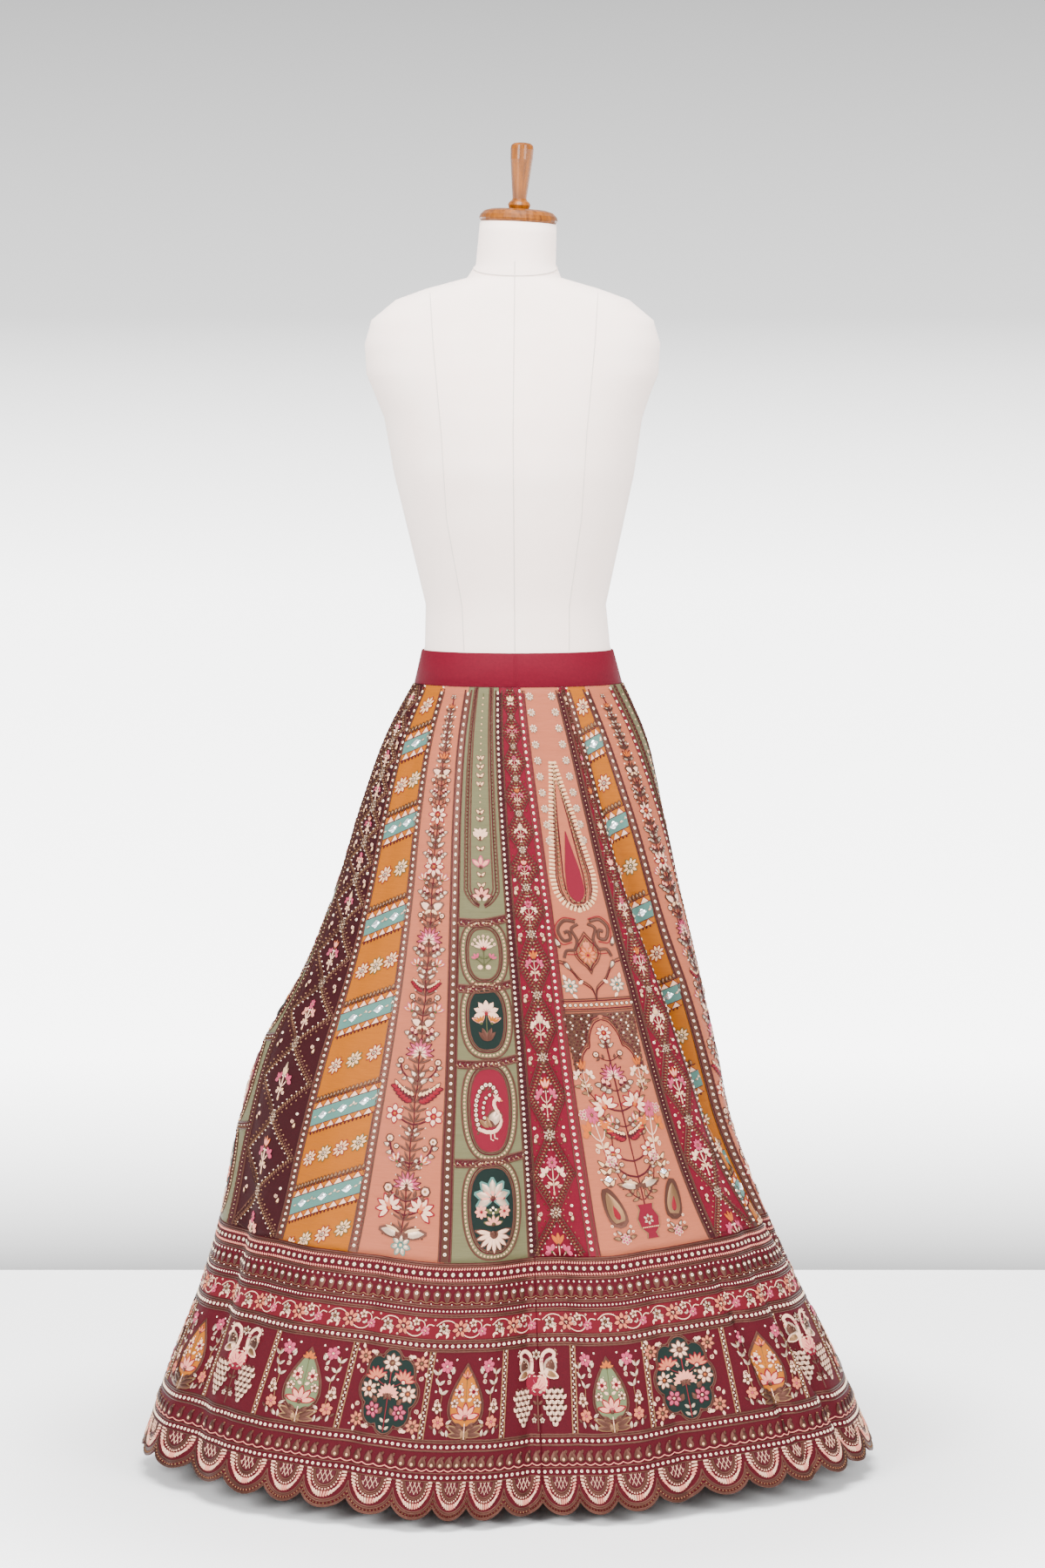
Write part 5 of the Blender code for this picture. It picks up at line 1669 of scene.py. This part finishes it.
def vine_panel(number):
    """The table's motifs up the stem, each no wider than the kali is clear at its height."""
    stem = np.arange(305, 944, 3.5)
    parts = [cord(0.8 * np.sin(stem * 0.13), stem, 1.6, "wine", 1.3)]
    for height, motif, reach in VINE:
        reach = min(reach * 1.06, 0.47 * clear_width(number, height))
        parts.append(sewn(VINE_MOTIFS[motif], 0, height, reach, 1))
    heights = np.arange(312, 930, 11.3)
    reach = np.minimum(17.5, 0.26 * clear_width(number, heights))
    leaflet = petal("bronze", None, 1.0, 4)
    for lean, size in ((1.15, 1.0), (0.55, 0.8)):
        for side in (-1, 1):
            parts.append(spread(leaflet, 0, heights, side * lean, 3, size * reach))
    for side in (-1, 1):
        parts.append(sewn(dot("sequin"), 0.86 * side * reach, heights + 6.2, 1.1))
    return joined(*parts)


# ---- Kalis: the arch panels ----
# On peach silk: rows of silver rosettes, a long beaded drop with a crimson satin heart, zari
# scrolls round an ogee, then a heavy cusped arch over a vase of flowers and two paisleys.
def arch_panel(number):
    """All widths are shares of the kali's clear width at that height."""
    parts = []
    heights = np.arange(775, 945, 18.5)
    reach = 0.36 * clear_width(number, heights)
    small = flower(8, 1.0, "silver", None, "pearl")
    for side in (-1, 1):
        parts.append(spread(small, side * reach, heights, 0.2, 5, 5))
    v = np.concatenate((np.linspace(865, 730, 30), np.linspace(726, 696, 12)))
    wide = 0.4 * clear_width(number, v) * np.interp(
        v, (696, 698.5, 705, 718, 735, 800, 865),
        (0.02, 0.34, 0.68, 0.94, 1.0, 0.6, 0.04))
    for share, drop in ((1.0, 0.0), (0.62, 7)):
        inner_v = np.maximum(v - drop * (v - 780) / 80, v * 0 + 696 + drop)
        at_u, at_v, at_turn = evenly(share * wide, inner_v, 4.6)
        size = 7.8 if share == 1.0 else 2.6
        thread = "pearl" if share == 1.0 else "gold"
        parts.append(both_sides(spread(bugle(thread), at_u, at_v, at_turn, size, 2.9, 1.9)))
    for share, thread in ((0.84, "wine"), (0.74, "bronze"), (0.5, "wine")):
        parts.append(both_sides(cord(share * wide, np.maximum(v, 696 + 14 * (1 - share)), 1.5, thread,
                                     1.4)))
    inset_v = np.linspace(704, 786, 12)
    inset = 0.17 * clear_width(number, inset_v) * np.interp(
        inset_v, (704, 710, 720, 742, 786), (0.2, 0.75, 1.0, 0.85, 0.05))
    columns = np.array((-1.0, -0.4, 0.4, 1.0))[None, :]
    parts.append(work_of(inset[:, None] * columns, inset_v[:, None], 0.8,
                         grid_triangles(len(inset_v), 4, flip=True), "crimson"))

    middle = clear_width(number, 645)
    scroll = joined(
        cord(*curve(((0.12, 0.42), (0.3, 0.44), (0.42, 0.3), (0.36, 0.12), (0.24, 0.14), (0.26, 0.26),
                     (0.33, 0.24)), 44), 0.062, "bronze", 1.8),
        cord(*curve(((0.1, 0.46), (0.32, 0.49), (0.47, 0.31), (0.4, 0.06), (0.22, 0.08)), 22), 0.018,
             "red", 1.4),
        cord(*curve(((0.08, 0.38), (0.2, 0.3), (0.14, 0.12), (0.2, -0.04), (0.34, -0.06), (0.4, -0.18)),
                    40), 0.056, "bronze", 1.8),
        cord(*curve(((0.16, 0.1), (0.1, -0.06), (0.2, -0.12), (0.34, -0.12)), 16), 0.016, "red", 1.4),
        spread(petal("silver", "bronze"), (0.44, 0.42), (0.0, -0.24), (-0.3, 2.6), 0.06, 0.15, 1.4))
    parts.append(spread(both_sides(scroll), 0, 652, 0, middle, min(middle, 70)))
    ogee_u = np.array((0.0, 0.1, 0.24, 0.28, 0.2, 0.07, 0.0))
    ogee_v = np.array((0.34, 0.24, 0.12, 0.0, -0.12, -0.22, -0.32))
    for grow, thread in ((1.0, "bronze"), (0.84, "wine"), (0.7, "gold")):
        line = cord(*curve(list(zip(grow * ogee_u, grow * ogee_v)), 22), 0.022, thread, 1.5)
        parts.append(spread(both_sides(line), 0, 644, 0, 0.78 * middle, 75))
    parts.append(spread(joined(flower(10, 0.14, "coral", "orange", "red"),
                               spread(petal("coral"), 0, 0.1, (0.4, -0.4, 0), 0.07, 0.12, 1.4)), 0, 642, 0,
                        70, 75))

    wide = clear_width(number, 605)
    cusp_u, cusp_v = curve(((0.0, 588), (0.03, 600), (0.1, 606), (0.2, 612),
                            (0.3, 624), (0.4, 632), (0.48, 634)))
    corner_flower = joined(
        flower(8, 8.5, "white", "teal", "orange"),
        spread(petal("white"), (4, -10.5, -1), (7, 2, -9.5), (-0.3, 0.9, 2.4), 4, 7, 1.3))
    parts += [
        both_sides(cord(wide * cusp_u, cusp_v, 1.4, "wine", 1.4)),
        both_sides(cord(wide * cusp_u, cusp_v + 3.2, 1.4, "bronze", 1.4)),
        both_sides(spread(corner_flower, 0.36 * wide, 606.5))]

    bar_wide = clear_width(number, 584)
    bar_u = np.linspace(-0.5, 0.5, 2 + int(bar_wide / 3)) * (bar_wide + 3)
    for height, thread in ((591, "bronze"), (588.5, "wine"), (579, "wine"), (576.5, "bronze")):
        parts.append(cord(bar_u, height, 1.6, thread, 1.4))
    parts.append(sewn(ring_sequin(rim="bronze"), bar_u[1::2], 583.8, 1.8, 1.4))

    wide = clear_width(number, 545)
    arch_u = np.array((0.0, 0.1, 0.19, 0.23, 0.27, 0.35, 0.38, 0.43, 0.5))
    arch_v = np.array((566, 562, 549, 534, 532, 523, 510, 503, 500))
    for grow, thread in ((0.0, "wine"), (2.6, "bronze"), (5.2, "wine")):
        line_u, line_v = curve(list(zip(arch_u, arch_v)), 34)
        parts.append(both_sides(cord(wide * line_u + 0.6 * grow, line_v + 0.8 * grow, 1.4, thread, 1.4)))
    ground_u = np.linspace(0.0, 0.49, 16)
    ground_v = 6 + np.interp(ground_u, arch_u, arch_v)
    parts.append(both_sides(work_of(wide * ground_u, np.stack((574.5 + 0 * ground_v, ground_v)), 0.4,
                                    grid_triangles(2, 16), "bronze")))
    fill_u, fill_v = np.meshgrid(np.arange(-16, 17) * 3.8, np.arange(503, 574, 3.8))
    fill_u[::2] += 1.9
    filled = (np.abs(fill_u) < 0.49 * wide) & (
        fill_v > 8.5 + np.interp(np.abs(fill_u) / wide, arch_u, arch_v))
    fill_u, fill_v = fill_u[filled], fill_v[filled]
    for first, thread in ((0, "gold"), (1, "wine"), (2, "bronze"), (3, "sequin"), (4, "bronze")):
        parts.append(sewn(dot(thread), fill_u[first::5], fill_v[first::5], 1.7, 1.7))
    parts.append(vase_of_flowers(number))
    return joined(*parts)


ARCH_STEM = (
    # height, motif, reach
    (550, "bloom", 9.5), (535, "leaves", 10), (521, "buds", 18),
    (503, "aster", 14), (486, "clusters", 22), (464, "fans", 31),
    (443, "tulips", 22), (427, "feathers", 25), (404, "stars", 31),
    (389, "arms", 26), (369, "plumes", 24),
)


def vase_of_flowers(number):
    """The plant in its vase up the middle, and at either side sprigs over a paisley."""
    reach = 0.46 * clear_width(number, 440)
    parts = [cord((0, 0), (345, 548), 1.8, "wine", 1.3)]
    for height, motif, size in ARCH_STEM:
        size = min(size, reach)
        parts.append(sewn(VINE_MOTIFS[motif], 0, height, size, 1))
    bowl_u = np.array((0.0, 7.5, 5.5, 12, 14, 8.5, 10.5, 0.0))
    bowl_v = np.array((305, 305, 311, 318, 329, 339, 345, 345))
    outline_u = np.concatenate((bowl_u, -bowl_u[-2:0:-1]))
    outline_v = np.concatenate((bowl_v, bowl_v[-2:0:-1]))
    parts += [
        patch(outline_u, outline_v, "crimson", 0.6),
        both_sides(cord(bowl_u[1:7], bowl_v[1:7], 2, "gold", 1.6)),
        spread(flower(6, 6.5, "silver", "red"), 0, 327),
        sewn(bead("pearl", 5), np.arange(-4, 5) * 2.4, 318, 1, 2.2)]
    side = joined(
        spread(sprig("star", "pink", "orange"), 0, 435, -0.1, 50, 75),
        spread(sprig("tulip", "orange", "white"), 0, 500, 0.0, 34, 48),
        spread(petal("gold", "bronze", 0.66, 12), 1, 325, -0.2, 17, 40, 1.8),
        spread(petal("red", "wine", 0.66, 10), 2, 330, -0.2, 8, 21, 2.4),
        sewn(MIRROR_EYE, 2, 379, 0.8, 1),
        leaf_pairs(2, (384, 393, 370), 0.0, 10, 4, "pearl", "bronze"),
        sewn(ring_sequin("white"), (-9, 13, -11, 11), (322, 325, 391, 388), 1.9, 1.4))
    parts.append(both_sides(spread(side, 0.7 * reach)))
    low = joined(
        flower(6, 6, "pink", "white"),
        spread(petal("gold", "bronze"), (-5, 5), 0.5, (1.35, -1.35), 3.6, 9, 1.3),
        spread(petal("silver", "bronze"), (-3, 3), 5, (0.75, -0.75), 3, 7.5, 1.3),
        sewn(ring_sequin("white"), (-11.5, 11.5), 7.5, 1.8, 1.4))
    parts.append(both_sides(spread(low, 0.72 * reach, 308.5)))
    branch_u, branch_v = curve(((0.03, 350), (0.3, 362), (0.52, 392), (0.4, 430), (0.55, 470),
                                (0.78, 488)), 20)
    slant = np.arctan2(-np.gradient(branch_u * reach), np.gradient(branch_v))
    parts.append(both_sides(
        cord(branch_u * reach, branch_v, 1.3, "wine", 1.2),
        leaf_pairs(branch_u[1::2] * reach, branch_v[1::2], slant[1::2], 8.5, 3.4, "gold",
                   "bronze", 0.9),
        spread(flower(7, 1.0, "pink", "white"), (0.56 * reach, 0.92 * reach),
               (398.5, 455), 0.3, 6.2, 6.2),
        sewn(ring_sequin("white", rim="bronze"), (0.22 * reach, 0.6 * reach, 0.86 * reach),
               (374, 444, 356), 2.4, 1.4)))
    return joined(*parts)


# ---- Kalis: the embroidery laid on ----
# One piece of work to each kali, with the trim of its left seam, couched through the cloth. The
# cloth sets the panel, but two of the peach kalis have the arch.
ARCH_KALIS = (6, 16)
BLOOMS_ON_CRIMSON = (("tulip", "orange", "pink"), ("star", "pink", "white"), ("tulip", "blush", "pink"),
                     ("leaf", "pearl", "white"))
BLOOMS_ON_MAROON = (("star", "pink", "blush"), ("tulip", "blush", "pink"), ("leaf", "pearl", "pink"))
for number, (cloth, _, _, _) in enumerate(KALIS):
    if cloth == "crimson":
        panel = lozenge_panel(number, BLOOMS_ON_CRIMSON)
    elif cloth == "maroon":
        panel = lozenge_panel(number, BLOOMS_ON_MAROON)
    elif cloth == "mustard":
        panel = banded_panel(number)
    elif cloth == "sage":
        panel = medallion_panel(number)
    elif number in ARCH_KALIS:
        panel = arch_panel(number)
    else:
        panel = vine_panel(number)
    stitched = joined(within_kali(spread(panel, anchor=0.5)), seam_trim(TRIM_ORDER[number]))
    sew_on(f"kali_{number + 1:02d}_embroidery", lay_on_kali(number, stitched), stitched)
